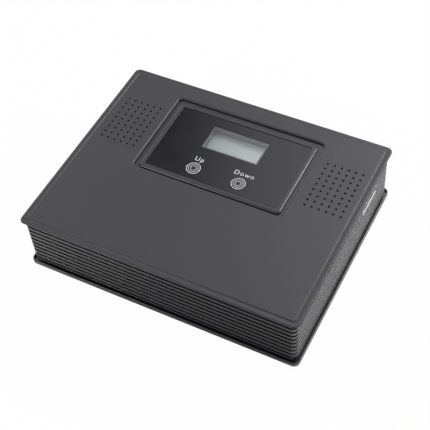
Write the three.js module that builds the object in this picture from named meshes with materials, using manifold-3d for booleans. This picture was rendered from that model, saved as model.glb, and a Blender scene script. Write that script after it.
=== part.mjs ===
// A desktop antenna tuner: a low ribbed case with a framed display, two push keys and radio parts inside.
// Millimetres. +Z is up, +X runs to the right along the long front edge and +Y runs to the back.
import * as THREE from 'three';
import { mergeVertices } from 'three/addons/utils/BufferGeometryUtils.js';
import Module from 'manifold-3d';

const wasm = await Module();
wasm.setup();

// Clearances and rounding: the gap where pieces meet, the play of a screw, how deep joined shapes overlap,
// and how far a cut or a root runs past a face
const SEAT = 0.3;
const SCREW_GAP = 0.35;
const SINK = 0.3;
const PAST = 1;
const EDGE_BEVEL = 0.3;
const ARC_STEPS = 2;
const ROUND_SIDES = 18;
const SMALL_SIDES = 12;
const SCREW_SIDES = 8;
const SHANK_SIDES = 6;
const BORE_SIDES = 8;

// Case
const CASE_WIDTH = 240;
const CASE_DEPTH = 190;
const CASE_CORNER = 5;
const FOOT_HEIGHT = 3;
const FOOT_RADIUS = 7;
const FOOT_BEVEL = 1;
const FOOT_PEG_RADIUS = 2.5;
const FOOT_PEG_LENGTH = 2;
const FOOT_INSET_X = 28;
const FOOT_INSET_Y = 29;

// Base plate
const FLANGE_THICKNESS = 1.3;
const LIP_RISE = 2.5;
const LIP_THICKNESS = 1;
const PLINTH_RISE = 2.5;
const PLINTH_INSET = 6;
const PLINTH_BORDER = 6;
const FLOOR_THICKNESS = 2.5;

// Ribbed body
const BODY_INSET = 2.4;
const BODY_CORNER = 5;
const RIB_COUNT = 10;
const RIB_PITCH = 4.93;
const RIB_HEIGHT = 2.8;
const BOTTOM_RIB_HEIGHT = 2.2;
const GROOVE_DEPTH = 2.2;
const TOP_LAND = 1.71;
const WALL = 3;
const PILLAR_RADIUS = 6;
const PILLAR_INSET = 5.4;
const LID_BOSS_LENGTH = 8.4;
const LID_BOSS_RADIUS = 4;

// Lid
const LID_THICKNESS = 1.8;
const RIM_WIDTH = 4.15;
const RIM_STEP = 0.5;
const PLATEAU_CORNER = 3.5;
const SKIRT_DROP = 3;
const SKIRT_THICKNESS = 1.6;

// Vent fields
const VENT_RADIUS = 0.85;
const VENT_COLUMNS = 6;
const VENT_ROWS = 9;
const VENT_PITCH_X = 6.07;
const VENT_PITCH_Y = 5.81;
const VENT_CENTRE_OFFSET = 92.3;
const VENT_BACK_MARGIN = 36.7;
const VENT_SIDES = 6;

// Opening for the display, and the frame in it
const FACE_X = 0.7;
const OPENING_WIDTH = 134.8;
const OPENING_DEPTH = 83.4;
const OPENING_CORNER = 4;
const OPENING_FLARE = 1.4;
const OPENING_BACK_MARGIN = 18;
const FRAME_WIDTH = 126.8;
const FRAME_DEPTH = 77.6;
const FRAME_CORNER = 3.5;
const FRAME_SLOPE = 1.2;
const FRAME_SHIFT_Y = -1.6;
const FRAME_PROUD = 0.1;
const FRAME_FLOOR = 1.6;
const FRAME_FLANGE = 6;
const FRAME_PIN_OUT = 2.9;

// Glossy panel, display window and keys
const PANEL_WIDTH = 117.6;
const PANEL_DEPTH = 69.3;
const PANEL_CORNER = 2;
const PANEL_THICKNESS = 1.5;
const PANEL_SHIFT_Y = 0.2;
const WINDOW_WIDTH = 50.6;
const WINDOW_DEPTH = 25.2;
const WINDOW_SHIFT_X = 0.3;
const WINDOW_SHIFT_Y = 12.5;
const WINDOW_WALL = 0.7;
const WINDOW_SINK = 6.6;
const WINDOW_FLANGE = 3.2;
const WINDOW_CORNER = 1;
const SIGHT_CORNER = 0.4;
const LENS_THICKNESS = 0.8;
const LENS_SINK = 0.4;
const KEY_RADIUS = 6.3;
const KEY_SPACING = 40.4;
const KEY_DROP = 36.2;
const KEY_CAP_THICKNESS = 1.2;
const KEY_FLANGE_RADIUS = 7.8;
const KEY_STEM_RADIUS = 2.5;
const KEY_TRAVEL = 0.6;
const SWITCH_SIZE = 12;
const SWITCH_HEIGHT = 4;
const PLUNGER_RADIUS = 3.4;
const PLUNGER_PROUD = 1.8;
const PLUNGER_SOCKET = 2.6;

// Display and its board
const CELL_WIDTH = 60;
const CELL_DEPTH = 38;
const CELL_THICKNESS = 2.8;
const CELL_LEGS = 6;
const CELL_LEG_PITCH = 9;
const CELL_LEG_WIDTH = 1.2;
const CELL_LEG_THICKNESS = 0.8;
const GUIDE_MARGIN_X = 1;
const GUIDE_MARGIN_Y = 4;
const GUIDE_THICKNESS = 3.1;
const BOARD_THICKNESS = 1.6;
const BOARD_CORNER = 1.5;
const DISPLAY_BOARD_WIDTH = 112;
const DISPLAY_BOARD_DEPTH = 66;
const DISPLAY_POST_INSET = 4;
const DISPLAY_POST_RADIUS = 3;
const PLUG_WIDTH = 16;
const PLUG_DEPTH = 5;
const PLUG_HEIGHT = 4;
const PLUG_OFFSET_X = -36;
const PLUG_OFFSET_Y = -14;
const PLUG_GRIP = 1.5;
const RIBBON_WIDTH = 13;
const RIBBON_THICKNESS = 0.8;
const RIBBON_REACH = 20;

// Main board and what is on it
const BOARD_LIFT = 9.5;
const BOARD_MARGIN_LEFT = 14.4;
const BOARD_MARGIN_RIGHT = 17.4;
const BOARD_MARGIN_FRONT = 13.4;
const BOARD_MARGIN_BACK = 21.4;
const STANDOFF_RADIUS = 3.5;
const STANDOFF_INSET = 6;
const RELAY_COUNT = 7;
const RELAY_WIDTH = 12.6;
const RELAY_LENGTH = 20;
const RELAY_HEIGHT = 14;
const RELAY_GAP = 4.4;
const RELAY_FOOT = 0.6;
const RELAY_FIRST_X = 16;
const RELAY_FIRST_Y = 20;
const RELAY_ROW_GAP = 6;
const CAPACITOR_WIDTH = 9;
const CAPACITOR_DEPTH = 4;
const CAPACITOR_HEIGHT = 11;
const CAPACITOR_GAP = 6;
const COIL_LARGE_RADIUS = 18;
const COIL_MEDIUM_RADIUS = 13;
const COIL_SMALL_RADIUS = 9;
const COIL_HEIGHT_SHARE = 0.7;
const COIL_BORE_SHARE = 0.5;
const COIL_TURNS = 12;
const COIL_GAP = 4;
const SHIELD_WIDTH = 40;
const SHIELD_DEPTH = 26;
const SHIELD_HEIGHT = 15;
const SHIELD_WALL = 0.8;
const SHIELD_BEHIND = 9;
const CHIP_SIZE = 14;
const CHIP_THICKNESS = 1.6;
const CHIP_LEG_REACH = 1;
const CHIP_LEG_THICKNESS = 0.6;
const SUPPLY_RADIUS = 6.3;
const SUPPLY_HEIGHT = 16;
const SUPPLY_BEVEL = 0.6;
const REGULATOR_WIDTH = 10;
const REGULATOR_DEPTH = 4.5;
const REGULATOR_LIFT = 4;
const REGULATOR_HEIGHT = 9;
const REGULATOR_TAB_RISE = 6;
const REGULATOR_TAB_THICKNESS = 1.3;
const REGULATOR_LEG_PITCH = 2.5;
const REGULATOR_LEG_WIDTH = 0.8;

// Rear panel and its sockets
const REAR_WIDTH = 163.4;
const REAR_HEIGHT = 34;
const REAR_LIFT = 22.8;
const REAR_THICKNESS = 1.8;
const REAR_POCKET_WALL = 2.7;
const REAR_WINDOW_BORDER = 6;
const REAR_SCREW_INSET = 2.9;
const SOCKET_X = [-50, 20];
const SOCKET_FLANGE_RADIUS = 10;
const SOCKET_FLANGE_THICKNESS = 2.5;
const SOCKET_BARREL_RADIUS = 7.95;
const SOCKET_BORE_RADIUS = 5.8;
const SOCKET_PROUD = 17;
const SOCKET_NECK_RADIUS = 7;
const SOCKET_NECK_LENGTH = 4;
const SOCKET_NUT_RADIUS = 11.5;
const INSULATOR_TAIL = 2;
const INSULATOR_SETBACK = 1;
const SOCKET_NUT_THICKNESS = 3;
const CONTACT_RADIUS = 2.5;
const CONTACT_TAIL = 4;
const CONTACT_SETBACK = 2;
const CONTACT_BORE_RADIUS = 2;
const CONTACT_BORE_DEPTH = 9;
const LEAD_WIDTH = 3;
const LEAD_THICKNESS = 1;
const GROUND_X = -15;
const STUD_RADIUS = 2.5;
const STUD_HEAD_RADIUS = 4.6;
const STUD_HEAD_THICKNESS = 3;
const STUD_LENGTH = 12;
const STUD_NUT_RADIUS = 4.6;
const STUD_NUT_THICKNESS = 4;
const JACK_X = 58;
const JACK_BUSH_RADIUS = 4;
const JACK_BORE_RADIUS = 2.9;
const JACK_PIN_RADIUS = 1.05;
const JACK_BODY_RADIUS = 5.5;
const JACK_BODY_LENGTH = 11;
const JACK_PROUD = 3.5;
const JACK_FLOOR = 2;
const JACK_PIN_SETBACK = 1;
const JACK_NUT_RADIUS = 6;
const JACK_NUT_THICKNESS = 2;
const WIRE_THICKNESS = 1.4;
const WIRE_WIDTH = 6;
const WIRE_BOW = 7;

// Control port in the right wall
const PORT_BACK_MARGIN = 43.55;
const PORT_WIDTH = 25.9;
const PORT_HEIGHT = 4.6;
const PORT_WALL = 0.6;
const PORT_LIP = 3.2;
const PORT_LIFT = 30.6;
const PORT_CAVITY = 6.6;
const PORT_SHELL_LENGTH = 13.6;
const PORT_BOARD_WIDTH = 44;
const PORT_BOARD_HEIGHT = 24;
const PORT_BOSS_RADIUS = 3;
const PORT_BOSS_SPACING = 36;
const PORT_BOSS_DROP = 7;
const PORT_LEAD_WIDTH = 14;
const PORT_LEAD_SHIFT = 9;
const PORT_LEAD_DROP = 5;

// Screws, and plastic pins whose ends are melted over: shank radius, head radius and head thickness
const STAKE = { shank: 1.3, head: 2.6, top: 1 };
const CASE_SCREW = { shank: 1.8, head: 3.5, top: 1.7 };
const CASE_SCREW_SINK = 2.2;
const BOARD_SCREW = { shank: 1.1, head: 2.5, top: 1.5 };
const PANEL_SCREW = { shank: 1.2, head: 2.8, top: 1.6 };
const BOARD_SCREW_BITE = 6;
const PANEL_SCREW_BITE = 2;

// Heights worked out from the sizes above, from the surface that the tuner stands on
const baseBottom = FOOT_HEIGHT;
const flangeTop = baseBottom + FLANGE_THICKNESS;
const floorTop = baseBottom + FLOOR_THICKNESS;
const plinthTop = flangeTop + PLINTH_RISE;
const bodyBottom = plinthTop + SEAT;
const firstGroove = bodyBottom + BOTTOM_RIB_HEIGHT;
const ribsTop = firstGroove + (RIB_COUNT - 1) * RIB_PITCH;
const bodyTop = ribsTop + TOP_LAND;
const lidBottom = bodyTop + SEAT;
const lidTop = lidBottom + LID_THICKNESS;
const pillarTop = lidBottom - LID_BOSS_LENGTH - SEAT;
const frameFloorTop = lidBottom - SEAT;
const frameFloorBottom = frameFloorTop - FRAME_FLOOR;
const panelBottom = frameFloorTop + SEAT;
const panelTop = panelBottom + PANEL_THICKNESS;
const cellTop = panelTop - WINDOW_SINK;
const cellBottom = cellTop - CELL_THICKNESS;
const guideTop = cellBottom - SEAT;
const displayBoardTop = guideTop - GUIDE_THICKNESS - SEAT;
const displayBoardBottom = displayBoardTop - BOARD_THICKNESS;
const boardBottom = floorTop + BOARD_LIFT;
const boardTop = boardBottom + BOARD_THICKNESS;
const partsSeat = boardTop + SEAT;
const rearZ = bodyBottom + REAR_LIFT;
const portZ = bodyBottom + PORT_LIFT + PORT_HEIGHT / 2;

// Places worked out from the sizes above, from the middle of the case
const bodyWidth = CASE_WIDTH - 2 * BODY_INSET;
const bodyDepth = CASE_DEPTH - 2 * BODY_INSET;
const coreWidth = bodyWidth - 2 * GROOVE_DEPTH;
const coreDepth = bodyDepth - 2 * GROOVE_DEPTH;
const coreCorner = BODY_CORNER - GROOVE_DEPTH;
const innerWidth = coreWidth - 2 * WALL;
const innerDepth = coreDepth - 2 * WALL;
const innerX = innerWidth / 2;
const innerY = innerDepth / 2;
const pillarX = innerX - PILLAR_INSET;
const pillarY = innerY - PILLAR_INSET;
const footX = CASE_WIDTH / 2 - FOOT_INSET_X;
const footY = CASE_DEPTH / 2 - FOOT_INSET_Y;
const openingY = CASE_DEPTH / 2 - OPENING_BACK_MARGIN - OPENING_DEPTH / 2;
const frameY = openingY + FRAME_SHIFT_Y;
const panelY = frameY + PANEL_SHIFT_Y;
const windowX = FACE_X + WINDOW_SHIFT_X;
const windowY = panelY + WINDOW_SHIFT_Y;
const keyY = windowY - KEY_DROP;
const keyXs = [windowX - KEY_SPACING / 2, windowX + KEY_SPACING / 2];
const framePinX = OPENING_WIDTH / 2 + FRAME_PIN_OUT;
const framePinY = OPENING_DEPTH / 2 + FRAME_PIN_OUT;
const boardLeft = -innerX + BOARD_MARGIN_LEFT;
const boardRight = innerX - BOARD_MARGIN_RIGHT;
const boardFront = -innerY + BOARD_MARGIN_FRONT;
const boardBack = innerY - BOARD_MARGIN_BACK;
const pocketFloorY = innerY + REAR_POCKET_WALL;
const rearInnerY = pocketFloorY + SEAT;
const rearFaceY = rearInnerY + REAR_THICKNESS;
const rearSeatY = rearFaceY + SEAT;
const socketTipY = rearFaceY + SOCKET_PROUD;
const leadY = boardBack - LEAD_WIDTH;
const portY = CASE_DEPTH / 2 - PORT_BACK_MARGIN;
const portMouthX = bodyWidth / 2;
const portShellBackX = portMouthX - PORT_SHELL_LENGTH;
const portBoardX = portShellBackX - SEAT;
const corners = [[-1, -1], [1, -1], [-1, 1], [1, 1]];
const cornerNames = ['front_left', 'front_right', 'back_left', 'back_right'];

// Turns a geometry or a finished solid into a solid that can be joined and cut.
function solid(shape) {
  if (!shape.isBufferGeometry) return shape;
  const bare = shape.clone();
  bare.deleteAttribute('normal');
  bare.deleteAttribute('uv');
  const merged = mergeVertices(bare);
  const vertProperties = new Float32Array(merged.attributes.position.array);
  const triVerts = new Uint32Array(merged.index.array);
  return new wasm.Manifold(new wasm.Mesh({ numProp: 3, vertProperties, triVerts }));
}

function join(...shapes) {
  return shapes.flat().map(solid).reduce((whole, next) => whole.add(next));
}

function cut(shape, ...tools) {
  return solid(shape).subtract(join(...tools));
}

function toGeometry(shape) {
  const mesh = solid(shape).getMesh();
  const geometry = new THREE.BufferGeometry();
  geometry.setAttribute('position', new THREE.BufferAttribute(new Float32Array(mesh.vertProperties), 3));
  geometry.setIndex(new THREE.BufferAttribute(new Uint32Array(mesh.triVerts), 1));
  geometry.computeVertexNormals();
  return geometry;
}

// A rounded rectangle centred on the origin, as an outline for plates.
function roundedRect(width, depth, corner) {
  const x = width / 2;
  const y = depth / 2;
  const r = corner;
  const outline = new THREE.Shape();
  outline.moveTo(r - x, -y);
  outline.lineTo(x - r, -y);
  outline.absarc(x - r, r - y, r, -Math.PI / 2, 0);
  outline.lineTo(x, y - r);
  outline.absarc(x - r, y - r, r, 0, Math.PI / 2);
  outline.lineTo(r - x, y);
  outline.absarc(r - x, y - r, r, Math.PI / 2, Math.PI);
  outline.lineTo(-x, r - y);
  outline.absarc(r - x, r - y, r, Math.PI, 1.5 * Math.PI);
  return outline;
}

// A rounded plate between two heights; a bevel draws both of its edges in.
function plate({ width, depth, corner, x = 0, y = 0, z0, z1, bevel = 0 }) {
  const geometry = new THREE.ExtrudeGeometry(roundedRect(width, depth, corner), {
    depth: z1 - z0 - 2 * bevel,
    curveSegments: ARC_STEPS,
    bevelEnabled: bevel > 0,
    bevelThickness: bevel,
    bevelSize: bevel,
    bevelOffset: -bevel,
    bevelSegments: 1,
  });
  return geometry.translate(x, y, z0 + bevel);
}

// A rounded plug that widens from the given size at z0 to a flare all round at z1 and above.
function flaredPlug({ width, depth, corner, flare, x, y, z0, z1 }) {
  const geometry = new THREE.ExtrudeGeometry(roundedRect(width, depth, corner), {
    depth: z1 - z0,
    curveSegments: ARC_STEPS,
    bevelThickness: z1 - z0,
    bevelSize: flare,
    bevelSegments: 1,
  });
  return geometry.translate(x, y, z1);
}

function block(x0, x1, y0, y1, z0, z1) {
  const geometry = new THREE.BoxGeometry(x1 - x0, y1 - y0, z1 - z0);
  return geometry.translate((x0 + x1) / 2, (y0 + y1) / 2, (z0 + z1) / 2);
}

function rodUp(radius, x, y, z0, z1, sides = SMALL_SIDES) {
  const geometry = new THREE.CylinderGeometry(radius, radius, z1 - z0, sides);
  return geometry.rotateX(Math.PI / 2).translate(x, y, (z0 + z1) / 2);
}

function rodBack(radius, x, z, y0, y1, sides = SMALL_SIDES) {
  const geometry = new THREE.CylinderGeometry(radius, radius, y1 - y0, sides);
  return geometry.translate(x, (y0 + y1) / 2, z);
}

function rodRight(radius, y, z, x0, x1, sides = SMALL_SIDES) {
  const geometry = new THREE.CylinderGeometry(radius, radius, x1 - x0, sides);
  return geometry.rotateZ(Math.PI / 2).translate((x0 + x1) / 2, y, z);
}

// A turned piece on an upright axis, from pairs of radius and height that close on themselves or the axis.
function turned(pairs, x, y, sides = ROUND_SIDES) {
  const profile = pairs.map(([radius, height]) => new THREE.Vector2(radius, height));
  const geometry = new THREE.LatheGeometry(profile, sides);
  return geometry.rotateX(Math.PI / 2).translate(x, y, 0);
}

// A flat lead that follows a curve through four control points in the XZ plane; its width lies along Y.
function strip(controls, width, thickness) {
  const curve = new THREE.CubicBezierCurve(...controls.map(([x, z]) => new THREE.Vector2(x, z)));
  const steps = 8;
  const sides = [[], []];
  for (let i = 0; i <= steps; i += 1) {
    const middle = curve.getPoint(i / steps);
    const along = curve.getTangent(i / steps);
    const aside = new THREE.Vector2(-along.y, along.x).multiplyScalar(thickness / 2);
    sides[0].push(middle.clone().add(aside));
    sides[1].unshift(middle.clone().sub(aside));
  }
  const outline = new THREE.Shape([...sides[0], ...sides[1]]);
  const geometry = new THREE.ExtrudeGeometry(outline, { depth: width, bevelEnabled: false });
  return geometry.rotateX(Math.PI / 2).translate(0, width / 2, 0);
}

function finish(color, roughness, metalness = 0) {
  return new THREE.MeshStandardMaterial({ color, roughness, metalness });
}

const finishes = {
  lidPlastic: finish(0x55545a, 0.55),
  bodyPlastic: finish(0x3f3f44, 0.6),
  basePlastic: finish(0x2c2c30, 0.65),
  framePlastic: finish(0x4c4b51, 0.5),
  innerPlastic: finish(0x1c1c1f, 0.6),
  glossPanel: finish(0x15161a, 0.12),
  paleFrame: finish(0x8c9292, 0.6),
  lensClear: finish(0xd8e2e2, 0.05),
  displayGlass: finish(0xa5b1b1, 0.2),
  whiteGuide: finish(0xe6e8e4, 0.5),
  rubber: finish(0x1a1a1b, 0.9),
  boardGreen: finish(0x1e5a38, 0.5),
  steel: finish(0x9a9ca0, 0.35, 1),
  nickel: finish(0xc9c7c0, 0.25, 1),
  brass: finish(0xb98f45, 0.3, 1),
  rearPaint: finish(0x232326, 0.5, 0.2),
  fluorine: finish(0xe9e7df, 0.5),
  relayCase: finish(0x2a4f8c, 0.45),
  chipBlack: finish(0x17171a, 0.5),
  capacitorBrown: finish(0x8a4a22, 0.5),
  copperCoil: finish(0xa0552c, 0.35, 0.8),
  sleeveBlue: finish(0x1f2c4c, 0.4),
  ribbonGrey: finish(0xb4b6ba, 0.6),
};

const tuner = new THREE.Group();
tuner.position.y = -(socketTipY - CASE_DEPTH / 2) / 2;

function add(name, shape, material) {
  const mesh = new THREE.Mesh(toGeometry(shape), material);
  mesh.name = name;
  tuner.add(mesh);
}

// A screw standing on the origin: its head lies under z = 0 and its shank reaches up to the length.
function screw(size, length) {
  return join(
    rodUp(size.head, 0, 0, -size.top, 0, SCREW_SIDES),
    rodUp(size.shank, 0, 0, -size.top / 2, length, SHANK_SIDES),
  );
}

// Base plate

function makeBase() {
  const lipTop = flangeTop + LIP_RISE;
  const outside = plate({
    width: CASE_WIDTH, depth: CASE_DEPTH, corner: CASE_CORNER, z0: baseBottom, z1: lipTop, bevel: EDGE_BEVEL,
  });
  const trench = plate({
    width: CASE_WIDTH - 2 * LIP_THICKNESS, depth: CASE_DEPTH - 2 * LIP_THICKNESS,
    corner: CASE_CORNER - LIP_THICKNESS, z0: flangeTop, z1: lipTop + PAST,
  });
  const plinthWidth = CASE_WIDTH - 2 * PLINTH_INSET;
  const plinthDepth = CASE_DEPTH - 2 * PLINTH_INSET;
  const plinth = plate({
    width: plinthWidth, depth: plinthDepth, corner: CASE_CORNER, z0: baseBottom, z1: plinthTop,
  });
  const hollow = plate({
    width: plinthWidth - 2 * PLINTH_BORDER, depth: plinthDepth - 2 * PLINTH_BORDER, corner: CASE_CORNER,
    z0: floorTop, z1: plinthTop + PAST,
  });
  const places = standoffPlaces();
  const middleX = (boardLeft + boardRight) / 2;
  const props = [places[0][1], places[3][1]].map((y) => [middleX, y]);
  const screwPads = corners.map(([sx, sy]) =>
    rodUp(PILLAR_RADIUS, sx * pillarX, sy * pillarY, floorTop - PAST, plinthTop));
  const standoffs = [...places, ...props].map(([x, y]) =>
    rodUp(STANDOFF_RADIUS, x, y, floorTop - PAST, boardBottom - SEAT));
  const screwHoles = corners.flatMap(([sx, sy]) => [
    rodUp(CASE_SCREW.shank + SCREW_GAP, sx * pillarX, sy * pillarY, 0, plinthTop + PAST),
    rodUp(CASE_SCREW.head + SCREW_GAP, sx * pillarX, sy * pillarY, 0, baseBottom + CASE_SCREW_SINK),
  ]);
  const boardHoleEnd = boardBottom - BOARD_SCREW_BITE - PAST;
  const boardHoles = places.map(([x, y]) =>
    rodUp(BOARD_SCREW.shank + SCREW_GAP, x, y, boardHoleEnd, boardBottom, BORE_SIDES));
  const pegHoles = corners.map(([sx, sy]) =>
    rodUp(FOOT_PEG_RADIUS + SCREW_GAP, sx * footX, sy * footY, 0, baseBottom + FOOT_PEG_LENGTH));
  const tray = cut(join(cut(outside, trench), plinth), hollow);
  add('base', cut(join(tray, screwPads, standoffs), screwHoles, boardHoles, pegHoles), finishes.basePlastic);
}

function standoffPlaces() {
  return corners.map(([sx, sy]) => [
    sx < 0 ? boardLeft + STANDOFF_INSET : boardRight - STANDOFF_INSET,
    sy < 0 ? boardFront + STANDOFF_INSET : boardBack - STANDOFF_INSET,
  ]);
}

function makeFeet() {
  cornerNames.forEach((name, index) => {
    const [sx, sy] = corners[index];
    const pad = turned([
      [0, 0], [FOOT_RADIUS - FOOT_BEVEL, 0], [FOOT_RADIUS, FOOT_BEVEL], [FOOT_RADIUS, FOOT_HEIGHT - SEAT],
      [FOOT_PEG_RADIUS, FOOT_HEIGHT - SEAT], [FOOT_PEG_RADIUS, FOOT_HEIGHT + FOOT_PEG_LENGTH - SEAT],
      [0, FOOT_HEIGHT + FOOT_PEG_LENGTH - SEAT],
    ], sx * footX, sy * footY, SMALL_SIDES + 2);
    add(`foot_${name}`, pad, finishes.rubber);
  });
}

function makeCaseScrews() {
  const seatZ = baseBottom + CASE_SCREW_SINK - SEAT;
  const length = lidBottom - 2 * SEAT - seatZ;
  cornerNames.forEach((name, index) => {
    const [sx, sy] = corners[index];
    const one = screw(CASE_SCREW, length).translate([sx * pillarX, sy * pillarY, seatZ]);
    add(`case_screw_${name}`, one, finishes.steel);
  });
}

// Ribbed body

function makeBody() {
  const core = plate({
    width: coreWidth, depth: coreDepth, corner: coreCorner, z0: bodyBottom, z1: bodyTop,
  });
  const ribs = [];
  for (let i = 0; i < RIB_COUNT; i += 1) {
    const z1 = firstGroove + i * RIB_PITCH;
    const z0 = i === 0 ? bodyBottom : z1 - RIB_HEIGHT;
    ribs.push(plate({ width: bodyWidth, depth: bodyDepth, corner: BODY_CORNER, z0, z1 }));
  }
  const inside = plate({
    width: innerWidth, depth: innerDepth, corner: coreCorner, z0: bodyBottom - PAST, z1: bodyTop + PAST,
  });
  const pillars = corners.map(([sx, sy]) =>
    rodUp(PILLAR_RADIUS, sx * pillarX, sy * pillarY, bodyBottom, pillarTop));
  const screwHoles = corners.map(([sx, sy]) =>
    rodUp(CASE_SCREW.shank + SCREW_GAP, sx * pillarX, sy * pillarY, 0, lidTop));
  const ring = cut(join(core, ribs), inside);
  const stakeX = portBoardX - BOARD_THICKNESS - SEAT;
  const bosses = portBossPlaces().flatMap(([y, z]) => [
    rodRight(PORT_BOSS_RADIUS, y, z, portBoardX + SEAT, innerX + PAST),
    rodRight(STAKE.shank, y, z, stakeX - STAKE.top / 2, innerX, BORE_SIDES),
    rodRight(STAKE.head, y, z, stakeX - STAKE.top, stakeX, SCREW_SIDES),
  ]);
  add('body', cut(join(ring, pillars, bosses), screwHoles, rearCuts(), portCut()), finishes.bodyPlastic);
}

function rearCuts() {
  const halfWidth = REAR_WIDTH / 2 + SEAT;
  const halfHeight = REAR_HEIGHT / 2 + SEAT;
  const border = REAR_WINDOW_BORDER;
  const outside = CASE_DEPTH / 2;
  const pocket = block(-halfWidth, halfWidth, pocketFloorY, outside, rearZ - halfHeight, rearZ + halfHeight);
  const window = block(
    border - halfWidth, halfWidth - border, innerY - PAST, outside,
    rearZ - halfHeight + border, rearZ + halfHeight - border,
  );
  const holeEnd = rearInnerY - PANEL_SCREW_BITE - SEAT;
  const holes = rearScrewPlaces().map(([x, z]) =>
    rodBack(PANEL_SCREW.shank + SCREW_GAP, x, z, holeEnd, outside, BORE_SIDES));
  return [pocket, window, ...holes];
}

function rearScrewPlaces() {
  return [-1, 1].map((side) => [side * (REAR_WIDTH / 2 - REAR_SCREW_INSET), rearZ]);
}

function portCut() {
  const halfWidth = PORT_WIDTH / 2 + PORT_WALL + SEAT;
  return block(
    innerX - PAST, CASE_WIDTH / 2, portY - halfWidth, portY + halfWidth,
    portZ - PORT_HEIGHT / 2 - PORT_LIP - SEAT, portZ + PORT_HEIGHT / 2 + PORT_WALL + SEAT,
  );
}

function portBossPlaces() {
  return [-1, 1].map((side) => [portY + side * PORT_BOSS_SPACING / 2, portZ - PORT_BOSS_DROP]);
}

// Lid

function makeLid() {
  const rimTop = lidTop - RIM_STEP;
  const rim = plate({
    width: CASE_WIDTH, depth: CASE_DEPTH, corner: CASE_CORNER, z0: lidBottom, z1: rimTop, bevel: RIM_STEP,
  });
  const plateau = plate({
    width: CASE_WIDTH - 2 * RIM_WIDTH, depth: CASE_DEPTH - 2 * RIM_WIDTH, corner: PLATEAU_CORNER,
    z0: lidBottom, z1: lidTop, bevel: EDGE_BEVEL,
  });
  const skirtOut = { width: innerWidth - 2 * SEAT, depth: innerDepth - 2 * SEAT, corner: coreCorner };
  const skirt = cut(
    plate({ ...skirtOut, z0: lidBottom - SKIRT_DROP, z1: lidBottom + SINK }),
    plate({
      width: skirtOut.width - 2 * SKIRT_THICKNESS, depth: skirtOut.depth - 2 * SKIRT_THICKNESS,
      corner: coreCorner, z0: lidBottom - SKIRT_DROP - PAST, z1: lidBottom + PAST,
    }),
  );
  const bosses = corners.map(([sx, sy]) =>
    rodUp(LID_BOSS_RADIUS, sx * pillarX, sy * pillarY, pillarTop + SEAT, lidBottom + SINK));
  const bossHoles = corners.map(([sx, sy]) =>
    rodUp(CASE_SCREW.shank + SCREW_GAP, sx * pillarX, sy * pillarY, 0, lidBottom, BORE_SIDES));
  const stakeZ = frameFloorBottom - SEAT;
  const framePins = framePinPlaces().flatMap(([x, y]) => [
    rodUp(STAKE.shank, x, y, stakeZ - STAKE.top / 2, lidBottom + SINK, BORE_SIDES),
    rodUp(STAKE.head, x, y, stakeZ - STAKE.top, stakeZ, SCREW_SIDES),
  ]);
  const shell = cut(join(rim, plateau, skirt, bosses, framePins), openingPlug(), bossHoles);
  add('lid', cut(shell, ventPlugs()), finishes.lidPlastic);
}

function openingPlug() {
  const size = {
    width: OPENING_WIDTH, depth: OPENING_DEPTH, corner: OPENING_CORNER, x: FACE_X, y: openingY,
  };
  return join(
    plate({ ...size, z0: lidBottom - PAST, z1: lidTop }),
    flaredPlug({ ...size, flare: OPENING_FLARE, z0: lidBottom + SINK, z1: lidTop }),
  );
}

function ventPlugs() {
  const plugs = [];
  const backRowY = CASE_DEPTH / 2 - VENT_BACK_MARGIN;
  for (const side of [-1, 1]) {
    for (let column = 0; column < VENT_COLUMNS; column += 1) {
      for (let row = 0; row < VENT_ROWS; row += 1) {
        const fromMiddle = (column - (VENT_COLUMNS - 1) / 2) * VENT_PITCH_X;
        const x = FACE_X + side * VENT_CENTRE_OFFSET + fromMiddle;
        const y = backRowY - row * VENT_PITCH_Y;
        plugs.push(rodUp(VENT_RADIUS, x, y, lidBottom - PAST, lidTop + PAST, VENT_SIDES));
      }
    }
  }
  return plugs;
}

function framePinPlaces() {
  return corners.map(([sx, sy]) => [FACE_X + sx * framePinX, openingY + sy * framePinY]);
}

// Display frame, panel, window and keys

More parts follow.
